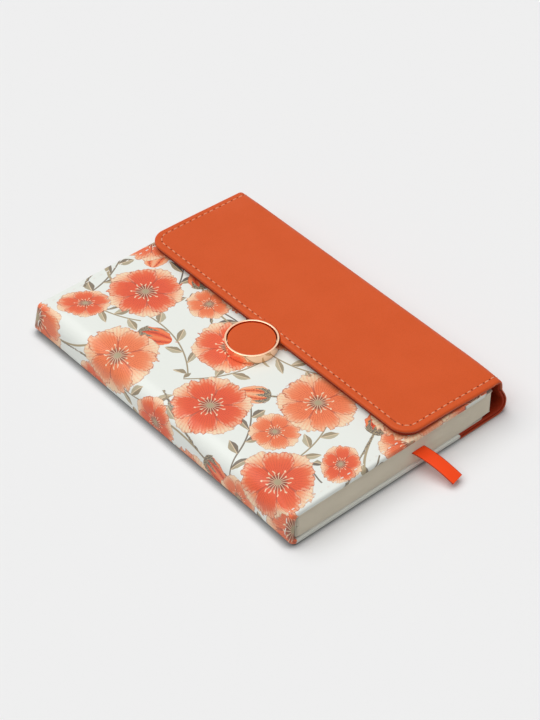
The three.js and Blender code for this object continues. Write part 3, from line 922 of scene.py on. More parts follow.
@dataclass(frozen=True)
class Paper(Look):
    """Uncoated sheets, with the lines of their edges where a stack of them shows."""

    roughness: float = 0.85
    sheet: float = 0.11 * MM
    lines: float = 0.35

    def material(self, effects: Effects) -> bpy.types.Material:
        """Builds the material: fibres, and fine level lines for the sheets' edges.

        Args:
            effects: the shared groups.

        Returns:
            The material.
        """
        graph, material = new_material(self.name)
        fibres = graph.group(effects.fibres, Vector=graph.place())
        levels = graph.vector("MULTIPLY", graph.place(), (0.02, 0.02, 1))
        edge = graph.noise(levels, 1 / self.sheet / 2, 3, 0.7)
        side = graph.step(abs(graph.split(graph.place("Normal"))[2]), 0.3, 0.8, self.lines, 0)
        colour = graph.mix(graph.step(edge, 0.42, 0.62) * side, self.colour, self.shade)
        colour = graph.mix(graph.step(fibres["Tone"], 0.3, 0.7) * 0.18, colour, self.shade)
        normal = graph.bump(edge * side + fibres["Height"] * 0.2, 0.02 * MM, 0.6)
        graph.give(Base_Color=colour, Roughness=self.roughness, Normal=normal, Specular_IOR_Level=0.25)
        return material


@dataclass(frozen=True)
class Cloth(Look):
    """Woven satin or gauze."""

    roughness: float = 0.45
    sheen: float = 0.3
    warp: float = 4000
    weft: float = 5200
    depth: float = 0.03 * MM
    selvedge: float = 0
    tooth: float = 0.55 * MM
    edge: str = "7d1206"

    def material(self, effects: Effects) -> bpy.types.Material:
        """Builds the material: a weave in the bump and the colour, and darker selvedges.

        Args:
            effects: the shared groups.

        Returns:
            The material.
        """
        graph, material = new_material(self.name)
        flat = graph.flat() if self.selvedge else graph.place()
        weave = graph.group(effects.weave, Vector=flat, Warp=self.warp, Weft=self.weft)
        colour = graph.mix(weave["Thread"] * 0.45, self.colour, self.shade)
        colour = graph.mix(graph.step(weave["Height"], 0.0, 0.45, 0.35, 0), colour, self.shade)
        if self.selvedge:
            along, across, _ = graph.split(flat)
            edge = graph.step(abs(across), self.selvedge - 0.45 * MM, self.selvedge - 0.1 * MM)
            tooth = (along * (2 * math.pi / self.tooth)).sine()
            colour = graph.mix(edge * graph.step(tooth, -0.8, 0.4, 0.45, 0.95), colour, self.edge)
        normal = graph.bump(weave["Height"], self.depth, 0.7)
        graph.give(Base_Color=colour, Roughness=self.roughness, Normal=normal)
        graph.give(Sheen_Weight=self.sheen, Specular_IOR_Level=0.25)
        return material


@dataclass(frozen=True)
class Metal(Look):
    """Plated or plain metal with faint rubbing marks."""

    roughness: float = 0.12

    def material(self, effects: Effects) -> bpy.types.Material:
        """Builds the material: marks in the roughness and the bump.

        Args:
            effects: the shared groups.

        Returns:
            The material.
        """
        graph, material = new_material(self.name)
        scuffs = graph.group(effects.scuffs, Vector=graph.place())
        colour = graph.mix(scuffs["Smudge"] * 0.25, self.colour, self.shade)
        rough = graph.step(scuffs["Smudge"], 0, 1, self.roughness, self.roughness + 0.06)
        normal = graph.bump(scuffs["Height"], 0.004 * MM, 0.6)
        graph.give(Base_Color=colour, Roughness=rough, Normal=normal, Metallic=1.0)
        return material


@dataclass(frozen=True)
class Motif:
    """One motif's place on the print, in millimetres, its size, turn in degrees and tone."""

    across: float
    along: float
    size: float
    turn: float
    tone: float


@dataclass(frozen=True)
class Bare:
    """Where the case's turn-in is plain: past front, before back, and further from the middle than out."""

    front: float
    back: float
    out: float


@dataclass(frozen=True)
class Print:
    """The printed cover: open five-petalled flowers, buds and leafy sprays on a pale ground.

    The pattern repeats once round the case and is drawn from the bottom motif to the top one.
    """

    bare: Bare
    name: str = "printed cover"
    repeat: tuple[float, float] = (97.06, 150.0)
    petals: int = 5
    stamens: int = 17
    stem_reach: float = 19.2
    leaf_pitch: float = 6.4
    leaf_length: float = 8.2
    small_blossoms: tuple[Motif, ...] = (
        Motif(-8, 74, 14.5, 35, 0.6),
        Motif(58, 75, 12, 12, 0.5),
        Motif(14, 63, 9, 10, 0.2),
        Motif(49, 31, 9, 40, 0.8),
        Motif(22, -39, 9.6, 65, 0.7),
        Motif(31, -67, 8.4, 15, 0.1),
        Motif(60, -4, 8.4, 30, 0.9),
        Motif(82, 40, 9, 50, 0.3),
        Motif(85, -46, 9.6, 20, 0.8),
        Motif(88, 2, 10.8, 5, 0.2),
    )
    blossoms: tuple[Motif, ...] = (
        Motif(35, 53, 14.8, 20, 0.0),
        Motif(4, 31, 15.9, 50, 0.9),
        Motif(39, 7, 14.2, 5, 0.1),
        Motif(13, -13, 15.3, 33, 0.0),
        Motif(44, -38, 15.3, 62, 0.8),
        Motif(6, -59, 15.9, 12, 0.1),
        Motif(70, 62, 15.3, 40, 0.7),
        Motif(67, 22, 14.2, 15, 0.0),
        Motif(73, -20, 15.3, 55, 0.2),
        Motif(67, -63, 15.3, 25, 0.9),
    )
    buds: tuple[Motif, ...] = (
        Motif(21, 30, 7.2, -150, 0.0),
        Motif(52, 66, 6.5, 120, 0.8),
        Motif(29, -19, 6.5, 40, 0.9),
        Motif(-9, -34, 7.8, 160, 0.1),
        Motif(55, -60, 7.2, -60, 0.0),
        Motif(-7, 63, 7.2, 70, 0.7),
        Motif(88, 68, 6.5, 10, 0.2),
        Motif(56, 45, 6.5, -30, 0.1),
    )
    sprays: tuple[Motif, ...] = (
        Motif(20, 45, 1, -60, 0.1),
        Motif(50, 22, 1, 100, 0.9),
        Motif(-4, 10, 1, -75, 0.3),
        Motif(30, -5, 1, -20, 0.2),
        Motif(20, -50, 1, -100, 0.8),
        Motif(32, -52, 1, 20, 0.1),
        Motif(48, 48, 1, 35, 0.9),
        Motif(76, 0, 1, 60, 0.2),
        Motif(80, -60, 1, 70, 0.7),
        Motif(60, 36, 1, 40, 0.3),
        Motif(26, 22, 1, 75, 0.2),
        Motif(28, 68, 1, 15, 0.6),
        Motif(52, -22, 1, -65, 0.1),
        Motif(10, -36, 1, 30, 0.7),
    )

    def material(self, effects: Effects) -> bpy.types.Material:
        """Builds the material: sprays, buds, small and large flowers, each layer over the last.

        Args:
            effects: the shared groups.

        Returns:
            The material, plain on the turn-in at the fore-edge's corners, with painted shade along a pleat.
            What it throws onto the table is grey, so that the flowers don't tint the floor.
        """
        graph, material = new_material(self.name)
        place = graph.vector("MULTIPLY", graph.flat(), (1 / MM, 1 / MM, 0))
        frill, streak = graph.noise(place, 0.42), graph.noise(place, 1.9, 2)
        tone = graph.noise(place, 0.05, 2)
        colour = graph.mix(tone * 0.3, Tint.GROUND, Tint.GROUND_SHADE)
        nearest, blossom = self.nearest_group(), self.blossom_group()
        layers = (
            (self.spray_group(), self.sprays, (19.5, 9), (1.5, 2.5)),
            (self.bud_group(), self.buds, (1.9, 3.4), (0.2, -1.9)),
            (blossom, self.small_blossoms, (1.2, 1.2), (0, 0)),
            (blossom, self.blossoms, (1.2, 1.2), (0, 0)),
        )
        for tree, motifs, reach, shift in layers:
            ellipse = {
                "Reach": (1 / reach[0], 1 / reach[1], 0),
                "Shift": (-shift[0] / reach[0], -shift[1] / reach[1], 0),
            }
            found = {"Local": (99.0, 99.0, 0.0), "Tone": 0.0}
            for motif in motifs:
                centre, turn = (motif.across, motif.along, 0), math.radians(-motif.turn)
                spot = {"Place": place, "Centre": centre, "Size": 1 / motif.size, "Turn": turn}
                found = graph.group(nearest, **found, **spot, **ellipse, Own_Tone=motif.tone)
            colour = graph.group(tree, Color=colour, Frill=frill, Streak=streak, **found)["Color"]
        along, out, _ = graph.split(graph.flat())
        bare, beyond = self.bare, along - self.bare.front
        turned_in = graph.step(abs(out), bare.out, bare.out + 0.15 * MM)
        front = graph.step(beyond, -0.05 * MM, 0.05 * MM)
        back = graph.step(along, bare.back - 0.2 * MM, bare.back + 0.2 * MM, 1, 0)
        colour = graph.mix(turned_in * front.at_least(back), colour, Tint.TURN_IN)
        # painted shade along the pleat where the plain turn-in starts
        painted_pleat_shade = graph.step(abs(beyond), 0.15 * MM, 0.45 * MM, 0.8, 0)
        colour = graph.mix(turned_in * painted_pleat_shade, colour, Tint.BARK)
        colour = graph.mix(graph.ray("Diffuse") * 0.85, colour, Tint.BOUNCE)
        fibres = graph.group(effects.fibres, Vector=graph.place())
        rough = graph.step(fibres["Tone"], 0.2, 0.8, 0.42, 0.52)
        graph.give(Base_Color=colour, Roughness=rough, Normal=graph.bump(fibres["Height"], 0.008 * MM, 0.5))
        return material

    def nearest_group(self) -> bpy.types.NodeTree:
        """Within a motif's own ellipse, takes over its local place, in its sizes, and its tone.

        Returns:
            The group.
        """
        inputs = {
            "Local": (99.0, 99.0, 0.0),
            "Tone": 0.0,
            "Place": (0.0, 0.0, 0.0),
            "Centre": (0.0, 0.0, 0.0),
            "Size": 1.0,
            "Turn": 0.0,
            "Own Tone": 0.0,
            "Reach": (1.0, 1.0, 0.0),
            "Shift": (0.0, 0.0, 0.0),
        }
        graph, fed = new_group("motif place", inputs, {"Local": "Vector", "Tone": "Float"})
        across, along = self.repeat[0] / 2, self.repeat[1] / 2
        away = graph.vector("SUBTRACT", fed["Place"], fed["Centre"])
        near = graph.vector("WRAP", away, (across, along, 1), (-across, -along, -1))
        spin = (("Vector", near), ("Angle", fed["Turn"]))
        local = graph.scaled(graph.add("ShaderNodeVectorRotate", spin, rotation_type="Z_AXIS"), fed["Size"])
        reached = graph.vector("LENGTH", graph.vector("MULTIPLY_ADD", local, fed["Reach"], fed["Shift"]))
        on = graph.maths("LESS_THAN", reached, 1)
        places = (0, on), (4, fed["Local"]), (5, local)
        tones = (0, on), (2, fed["Tone"]), (3, fed["Own Tone"])
        chosen = graph.add("ShaderNodeMix", places, 1, data_type="VECTOR")
        return graph.give(Local=chosen, Tone=graph.add("ShaderNodeMix", tones, data_type="FLOAT"))

    @staticmethod
    def start(name: str) -> tuple[Graph, dict[str, Field]]:
        """Starts a motif's group, whose inputs are the colour below, the local place, noises and tone."""
        fed = {"Color": (1.0, 1.0, 1.0, 1.0), "Local": (0.0, 0.0, 0.0)}
        return new_group(name, {**fed, "Frill": 0.5, "Streak": 0.5, "Tone": 0.0}, {"Color": "Color"})

    def blossom_group(self) -> bpy.types.NodeTree:
        """An open flower: five notched petals over five paler ones, veins, a core and stamens.

        In polar form a petal's edge is 1 - 0.42 s cubed, s being 0 at its middle and 1 at its sides.

        Returns:
            The group.
        """
        graph, fed = self.start("blossom")
        x, y, _ = graph.split(fed["Local"])
        r, angle = graph.vector("LENGTH", fed["Local"]), graph.maths("ARCTAN2", y, x)
        petal = (angle * (self.petals / (2 * math.pi))).fraction() - 0.5
        side, frill = abs(petal) * 2, (fed["Frill"] - 0.5) * 0.3
        inside = side**3 * -0.42 + (frill + 0.98) - graph.step(side, 0.0, 0.2, 0.07, 0) - r
        back_inside = (1 - side) ** 3 * -0.4 + (1.02 - frill) - r
        vein = graph.step((angle * 60 + fed["Streak"] * 9).sine(), 0.1, 1)
        light = graph.mix(fed["Tone"], Tint.ORANGE, Tint.PEACH)
        full = graph.mix(fed["Tone"], Tint.CORAL, Tint.ORANGE)
        back = graph.mix(graph.step(r, 0.6, 1.0), light, Tint.CREAM)
        back = graph.mix(vein * 0.35, back, full)
        back = graph.mix(graph.step(back_inside, 0.0, 0.05, 0.75, 0), back, Tint.DEEP)
        colour = graph.mix(graph.step(back_inside, 0, 0.02), fed["Color"], back)
        front = graph.mix(graph.step(r, 0.5, 1.2), full, light)
        front = graph.mix(graph.step(petal, -0.5, 0.0, 0.85, 0), front, full)
        front = graph.mix(vein * graph.step(r, 0.25, 0.85, 0.55, 0.12), front, Tint.DEEP)
        front = graph.mix((1 - vein) * graph.step(inside, 0.02, 0.22, 0.55, 0), front, Tint.CREAM)
        front = graph.mix(graph.step(side, 0.88, 1.0, 0, 0.8), front, Tint.DEEP)
        front = graph.mix(graph.step(inside, 0.01, 0.05, 0.85, 0), front, Tint.DEEP)
        colour = graph.mix(graph.step(inside, 0, 0.02), colour, front)
        colour = graph.mix(graph.step(r + frill, 0.15, 0.3, 0.85, 0), colour, Tint.CORE)
        spoke = abs((angle * (self.stamens / (2 * math.pi)) + frill).fraction() - 0.5)
        beside = spoke * r * (2 * math.pi / self.stamens)
        gap = r - ((angle * 7).sine() * 0.07 + 0.31)
        thread = graph.step(beside, 0.004, 0.013, 0.8, 0) * graph.step(gap, -0.02, 0.0, 1, 0)
        tip = graph.step(graph.vector("LENGTH", graph.combine(beside, gap)), 0.02, 0.032, 1, 0)
        colour = graph.mix(thread.at_least(tip) * 0.9, colour, Tint.CREAM)
        return graph.give(Color=graph.mix(graph.step(r, 0.07, 0.1, 1, 0), colour, Tint.OLIVE))

    def bud_group(self) -> bpy.types.NodeTree:
        """A closed bud: an egg of half width (0.74 - 0.14 y) sqrt(1 - y y), sepals and a bent stem.

        Returns:
            The group.
        """
        graph, fed = self.start("bud")
        x, y, _ = graph.split(fed["Local"])
        frill, below = fed["Frill"] - 0.5, (y + 0.9).at_most(0)
        stem = graph.step(abs(x - below * below * 0.09), 0.05, 0.09, 1, 0)
        stem = stem * graph.step(y, -4.6, -4.4) * graph.step(y, -0.8, -0.7, 1, 0)
        colour = graph.mix(stem, fed["Color"], Tint.OLIVE)
        half = frill * 0.25 + (1 - y * y).at_least(0).root() * (y * -0.14 + 0.74)
        inside, lobe = half - abs(x), x / half.at_least(0.05)
        fold = (lobe * 7.5 + fed["Streak"] * 3).sine()
        full = graph.mix(fed["Tone"], Tint.CORAL, Tint.ORANGE)
        light = graph.mix(fed["Tone"], Tint.ORANGE, Tint.PEACH)
        body = graph.mix(graph.step(fold, -0.6, 0.9), full, light)
        body = graph.mix(graph.step(fold, -1.0, -0.75, 0.8, 0), body, Tint.DEEP)
        body = graph.mix(graph.step(inside, 0.0, 0.08, 0.8, 0), body, Tint.DEEP)
        colour = graph.mix(graph.step(inside, 0, 0.04), colour, body)
        tooth = frill * 0.8 + (abs((lobe * 4.7).sine()) * -0.75 + 0.05)
        cup = (tooth - y).at_most(inside + 0.09)
        leaf = graph.mix(graph.step(fed["Streak"], 0.45, 0.55), Tint.BARK, Tint.OLIVE)
        return graph.give(Color=graph.mix(graph.step(cup, 0, 0.06), colour, leaf))

    def spray_group(self) -> bpy.types.NodeTree:
        """A leafy stem: leaves stand at 45 degrees on alternate sides of a bent line.

        A leaf's half width is w sin(pi a / length), with a along the leaf and b across it.

        Returns:
            The group.
        """
        graph, fed = self.start("spray")
        x, y, _ = graph.split(fed["Local"])
        above, reach, length = y - x * x * 0.012, self.stem_reach, self.leaf_length
        within = graph.step(x, -reach, 0.1 - reach) * graph.step(x, reach - 0.2, reach, 1, 0)
        olive = graph.mix(fed["Tone"], Tint.OLIVE, Tint.BARK)
        colour = graph.mix(graph.step(abs(above), 0.22, 0.4, 1, 0) * within, fed["Color"], olive)
        cell = x / self.leaf_pitch
        start = cell.fraction() * self.leaf_pitch
        up = above * (graph.step((cell.floor() * 0.5).fraction(), 0.2, 0.3) * 2 - 1)
        a, b = (start + up) * math.sqrt(0.5), (up - start) * math.sqrt(0.5)
        half = (a * (math.pi / length)).sine() * 1.75
        on = graph.step(a, 0, 0.1) * graph.step(a, length - 0.1, length, 1, 0) * within
        inside = (fed["Frill"] - 0.5) * 0.96 + half - abs(b)
        leaf = graph.mix(graph.step(b, -0.3, 0.3), olive, graph.mix(fed["Tone"], Tint.SAGE, Tint.OLIVE))
        leaf = graph.mix(graph.step(abs(b), 0.1, 0.22, 0.9, 0), leaf, Tint.CREAM)
        leaf = graph.mix(fed["Streak"] * 0.35, leaf, Tint.BARK)
        return graph.give(Color=graph.mix(graph.step(inside, 0, 0.2) * on, colour, leaf))


@dataclass(frozen=True)
class Finishes:
    """Every finish of the notebook, built once."""

    print: Finish
    board: Finish
    paper: Finish
    endpaper: Finish
    gauze: Finish
    ribbon: Finish
    leather: Finish
    inset: Finish
    lining: Finish
    thread: Finish
    cover_thread: Finish
    gold: Finish
    steel: Finish

    @classmethod
    def build(cls, bare: Bare) -> "Finishes":
        """Builds the materials.

        Args:
            bare: where the case's turn-in is plain.

        Returns:
            The finishes.
        """
        effects = Effects.build()
        orange, deep = "d45622", "bb4716"
        gauze = Cloth("spine gauze", "e8e2d2", "b7ad96", 0.9, sheen=0, warp=900, weft=900, depth=0.1 * MM)
        ribbon = Cloth("satin ribbon", "ff4e0c", "f23a04", 0.4, sheen=0, selvedge=3.1 * MM)
        thread = Cloth("peach thread", "e9a682", "c97a54", 0.6, sheen=0.2, warp=2500, weft=2500)
        cover_thread = Cloth("white thread", "f2efe8", "cfc9bd", 0.6, sheen=0.2, warp=2500, weft=2500)
        looks = {
            "print": (Print(bare), Slot.PRINT),
            "board": (Paper("grey board", "a79f90", "8b8375", lines=0.1), Slot.BOARD),
            "paper": (Paper("cream sheets", "eae1ce", "d3cab6", lines=0.05), Slot.PAPER),
            "endpaper": (Paper("endpaper", "ece6d8", "d5cdbb", lines=0), Slot.PAPER),
            "gauze": (gauze, Slot.GAUZE),
            "ribbon": (ribbon, Slot.RIBBON),
            "leather": (Leather("orange leather", orange, deep), Slot.LEATHER),
            "inset": (Leather("inset leather", orange, deep, holes=False), Slot.LEATHER),
            "lining": (Leather("lining leather", "9e2f10", "741c08", 0.7, 0.03 * MM, False), Slot.LINING),
            "thread": (thread, Slot.THREAD),
            "cover_thread": (cover_thread, Slot.COVER_THREAD),
            "gold": (Metal("rose gold", "f9cfae", "edb996"), Slot.GOLD),
            "steel": (Metal("steel", "b9bcc0", "8d9094", 0.3), Slot.STEEL),
        }
        return cls(**{key: Finish(look.material(effects), slot) for key, (look, slot) in looks.items()})


@dataclass
class PrintedCase:
    """The printed case: back cover, round spine and front cover in one bent sheet."""

    thickness: float = 2.4 * MM
    corner_r: float = 4 * MM
    top_r: float = 6.5 * MM
    end_r: float = 1.6 * MM
    end_band: float = 16 * MM
    flare: float = 3.2 * MM
    flare_band: float = 30 * MM
    swell: float = 1.1 * MM
    swell_z: float = 6 * MM
    foot_r: float = 3.2 * MM
    inner_r: float = 1.5 * MM
    band: float = 2 * MM
    edge_r: float = 0.95 * MM
    hollow: float = 0.22 * MM
    board_edge: float = 0.3 * MM
    board_short: float = 1.6 * MM
    stitch_inset: float = 2.6 * MM
    stitch_end: float = 4.5 * MM
    pitch: float = 3.1 * MM
    pleat_inset: float = 12.8 * MM
    stitch: Stitch = field(default_factory=lambda: Stitch(height=0.2 * MM, rise=0.02 * MM))

    def __post_init__(self) -> None:
        """Reads the case's place from the frame and draws its middle section."""
        self.box = Box.of("printed_cover")
        self.back_x = Box.of("back_leather").low.x
        self.half = self.box.size.y / 2
        self.middle = self.section(self.top_r)

    def section(self, crown: float) -> Section:
        """The bent section, from the back cover's cut edge round the spine to the fore-edge.

        Args:
            crown: radius between the spine and the front cover.

        Returns:
            The section.
        """
        left, right, top = self.box.low.x, self.box.high.x, self.box.high.z
        foot, wall, r = self.foot_r, self.thickness, self.inner_r
        outer = [
            [[self.back_x, 0]],
            arc((left + foot, foot), foot, 270, 180),
            arc((left + crown, top - crown), crown, 180, 90, 14),
            [[right, top]],
        ]
        inner = [
            [[self.back_x, wall]],
            arc((left + wall + r, wall + r), r, 270, 180),
            arc((left + wall + r, top - wall - r), r, 180, 90, 14),
            [[right, top - wall]],
        ]
        return Section(np.concatenate(outer), np.concatenate(inner), wall)

    def place(self) -> Placer:
        """Bends flat points round the spine, whose upper edge is round in the middle and crisp at the ends.

        The two sections are mixed by a soft step of the distance from the middle. Towards both ends
        the spine swells by swell t squared, less above and below swell_z, and at the head its foot
        stands out by flare (1 - z / top) t squared, t running from 0 to 1 over the flare band.

        Returns:
            A function from flat points and depths to places in the frame.
        """
        middle, crisp = self.middle, self.section(self.end_r)
        left, top = self.box.low.x, self.box.high.z

        def bent(flat: Array, depth: Array) -> Array:
            """Places flat points at given depths."""
            near = soft_step(np.abs(flat[:, 1]), self.half - self.end_band, self.half - self.band)[:, None]
            shift = np.interp(flat[:, 0], middle.length, crisp.length - middle.length)
            own = flat + np.stack([shift, np.zeros(len(flat))], -1)
            point = (1 - near) * middle.place(flat, depth) + near * crisp.place(own, depth)
            t = np.clip((np.abs(point[:, 1]) - self.half + self.flare_band) / self.flare_band, 0, 1) ** 2
            wall = 1 - soft_step(point[:, 0], left + 2 * MM, left + 12 * MM)
            height = point[:, 2]
            bulge = np.exp(-(((height - self.swell_z) / (5 * MM)) ** 2)) * soft_step(height, 0, 3 * MM)
            head = self.flare * np.clip(1 - height / top, 0, 1) * (point[:, 1] > 0)
            point[:, 0] -= self.swell * bulge * wall * t
            point[:, 1] += head * wall * t
            return point

        return bent

    def bare(self) -> Bare:
        """Where the turn-in is plain."""
        wrapped = self.band - self.edge_r + self.edge_r * math.pi / 4
        length = self.middle.length
        return Bare(length[-1] - self.pleat_inset, length[3], self.half - self.band + wrapped)

    def sheet(self) -> Sheet:
        """The case in plan, with round corners at the fore-edge.

        Returns:
            The sheet, still to be built.
        """
        u, r, w = self.middle.length, self.corner_r, self.band
        straight = np.concatenate([np.linspace(w, u[1], 24), u[2:-1], np.linspace(u[-2], u[-1] - r, 24)[1:]])
        plan = plan_grid(*round_end(straight, u[-1], self.half, r, w, 20), 61)
        return Sheet(plan, Rim.rolled(w, self.thickness - self.hollow, self.edge_r, 0.5 * MM), self.place())

    def board(self, box: Box) -> Surface:
        """The back board: a flat slab with cut edges, z = top - depth.

        Args:
            box: the board's place.

        Returns:
            Its surface.
        """
        band, edge_r = self.board_edge, 0.1 * MM
        column = np.linspace(box.low.x + band, box.high.x - band, 12)
        plan = plan_grid(column, box.high.y - self.board_short, 12)

        def place(flat: Array, depth: Array) -> Array:
            """Sets flat points at their height."""
            return np.stack([flat[:, 0], flat[:, 1], box.high.z - depth], -1)

        return Sheet(plan, Rim.rolled(band, box.size.z, edge_r, edge_r), place).surface()

    def build(self, finishes: Finishes) -> list[bpy.types.Object]:
        """Makes the case, its back board and its threads.

        Args:
            finishes: the materials.

        Returns:
            The pieces made.
        """
        board = self.board(Box.of("back_board"))
        made = [
            make_piece("case", self.sheet().surface(), finishes.print, ["printed_cover"], Body.BOOK),
            make_piece("back_card", board, finishes.board, ["back_board"], Body.BOOK),
        ]
        place, u = self.place(), self.middle.length
        first, last = u[9] + 0.5 * MM, u[-1] - self.stitch_end
        count = round((last - first) / self.pitch)
        where = first + (np.arange(count) + 0.5) * (last - first) / count
        for end, side in (("tail", -1), ("head", 1)):
            y = side * (self.half - self.stitch_inset)
            row = self.stitch.row(where, lambda s, y=y: np.stack([s, np.full(len(s), y)], -1), place)
            replaced = [f"cover_stitching_{end}"]
            made.append(make_piece(f"case_thread_{end}", row, finishes.cover_thread, replaced, Body.BOOK))
        return made


@dataclass
class PageBlock:
    """The page block: eight sewn sections of thin sheets."""

    sections: int = 8
    sheets: int = 12
    corner_r: float = 2 * MM
    band: float = 1.2 * MM
    uneven: float = 0.012 * MM
    fold: float = 0.7 * MM
    lift: float = 1.15 * MM
    lift_from: float = 28 * MM
    leaf_band: float = 0.3 * MM
    leaf_short: float = 1.2 * MM

    def __post_init__(self) -> None:
        """Reads the block's lowest and highest level from the frame."""
        self.low = Box.of("signature_1").low.z
        self.high = Box.of(f"signature_{self.sections}").high.z

    def lifted(self, point: Array, end: float) -> Array:
        """Raises the lower sheets towards the fore-edge: lift t (1.3 - 0.3 t), less the higher they lie.

        Args:
            point: places in the block, which are changed.
            end: the fore-edge's X.

        Returns:
            The same places, raised.
        """
        t = np.clip((point[:, 0] - self.lift_from) / (end - self.lift_from), 0, 1.1)
        depth = np.clip((self.high - point[:, 2]) / (self.high - self.low), 0, 1.1)
        point[:, 2] += self.lift * t * (1.3 - 0.3 * t) * depth**2
        return point

    def rim(self, thickness: float, above: float, below: float, chance: np.random.Generator) -> Rim:
        """The cut edges of one section's sheets, each a little rounded step of uneven reach.

        Args:
            thickness: of the section.
            above: the gap to the section above, half of which the edges fill.
            below: the gap to the section below.
            chance: the source of unevenness.

        Returns:
            The rim, spread a little to meet the next sections' edges.
        """
        each = (thickness + above / 2 + below / 2) / self.sheets
        reach = self.band - np.abs(chance.normal(0, self.uneven, self.sheets))
        level = (np.arange(self.sheets)[:, None] + np.array([0.05, 0.2, 0.8, 0.95])) * each - above / 2
        out = reach[:, None] - np.array([0.03, 0, 0, 0.03]) * MM
        out, level = (np.concatenate([[0], v.ravel(), [end]]) for v, end in ((out, 0), (level, thickness)))
        return Rim(out, level, np.zeros(len(out)))

    def section_surface(self, number: int, chance: np.random.Generator) -> Surface:
        """One section: a stack of sheets with a rounded fold at the spine.

        Args:
            number: which section, from the back.
            chance: the source of unevenness.

        Returns:
            Its surface: x and y from the plan, z = top - depth, drawn together at the fold.
        """
        box = Box.of(f"signature_{number}")
        under = Box.of(f"signature_{number - 1}").high.z if number > 1 else box.low.z
        over = Box.of(f"signature_{number + 1}").low.z if number < self.sections else box.high.z
        length, thickness, r, w = box.size.x, box.size.z, self.corner_r, self.band
        lifting = np.linspace(self.lift_from - box.low.x, length - r, 10)
        straight = np.concatenate([np.linspace(w, 4 * w, 8), lifting])
        plan = plan_grid(*round_end(straight, length, box.size.y / 2, r, w, 8), 5)

        def place(flat: Array, depth: Array) -> Array:
            """Sets flat points at their height, closer together at the fold."""
            spread = np.sqrt(1 - (1 - np.clip(flat[:, 0] / self.fold, 0, 1)) ** 2)
            height = box.high.z - thickness / 2 + (thickness / 2 - depth) * spread
            return self.lifted(np.stack([box.low.x + flat[:, 0], flat[:, 1], height], -1), box.high.x)

        rim = self.rim(thickness, over - box.high.z, box.low.z - under, chance)
        return Sheet(plan, rim, place).surface()

    def flyleaf(self, node: str) -> Surface:
        """The sheet under the block, which follows its lifted fore-edge.

        Args:
            node: the sheet's node.

        Returns:
            Its surface.
        """
        box, band, edge_r = Box.of(node), self.leaf_band, 0.06 * MM
        column = np.linspace(box.low.x + band, box.high.x - self.leaf_short, 40)
        plan = plan_grid(column, box.high.y - band, 5)

        def place(flat: Array, depth: Array) -> Array:
            """Sets flat points at their height."""
            return self.lifted(np.stack([flat[:, 0], flat[:, 1], box.high.z - depth], -1), box.high.x)

        return Sheet(plan, Rim.rolled(band, box.size.z, edge_r, edge_r), place).surface()

    def build(self, finishes: Finishes) -> list[bpy.types.Object]:
        """Makes the sections and the sheet under them.

        Args:
            finishes: the materials.

        Returns:
            The pieces made.
        """
        chance, made = np.random.default_rng(SEED), []
        for number in range(1, self.sections + 1):
            surface = self.section_surface(number, chance)
            replaced = [f"signature_{number}"]
            made.append(make_piece(f"section_{number}", surface, finishes.paper, replaced, Body.BOOK))
        leaf = self.flyleaf("back_flyleaf")
        made.append(make_piece("back_leaf", leaf, finishes.endpaper, ["back_flyleaf"], Body.BOOK))
        return made


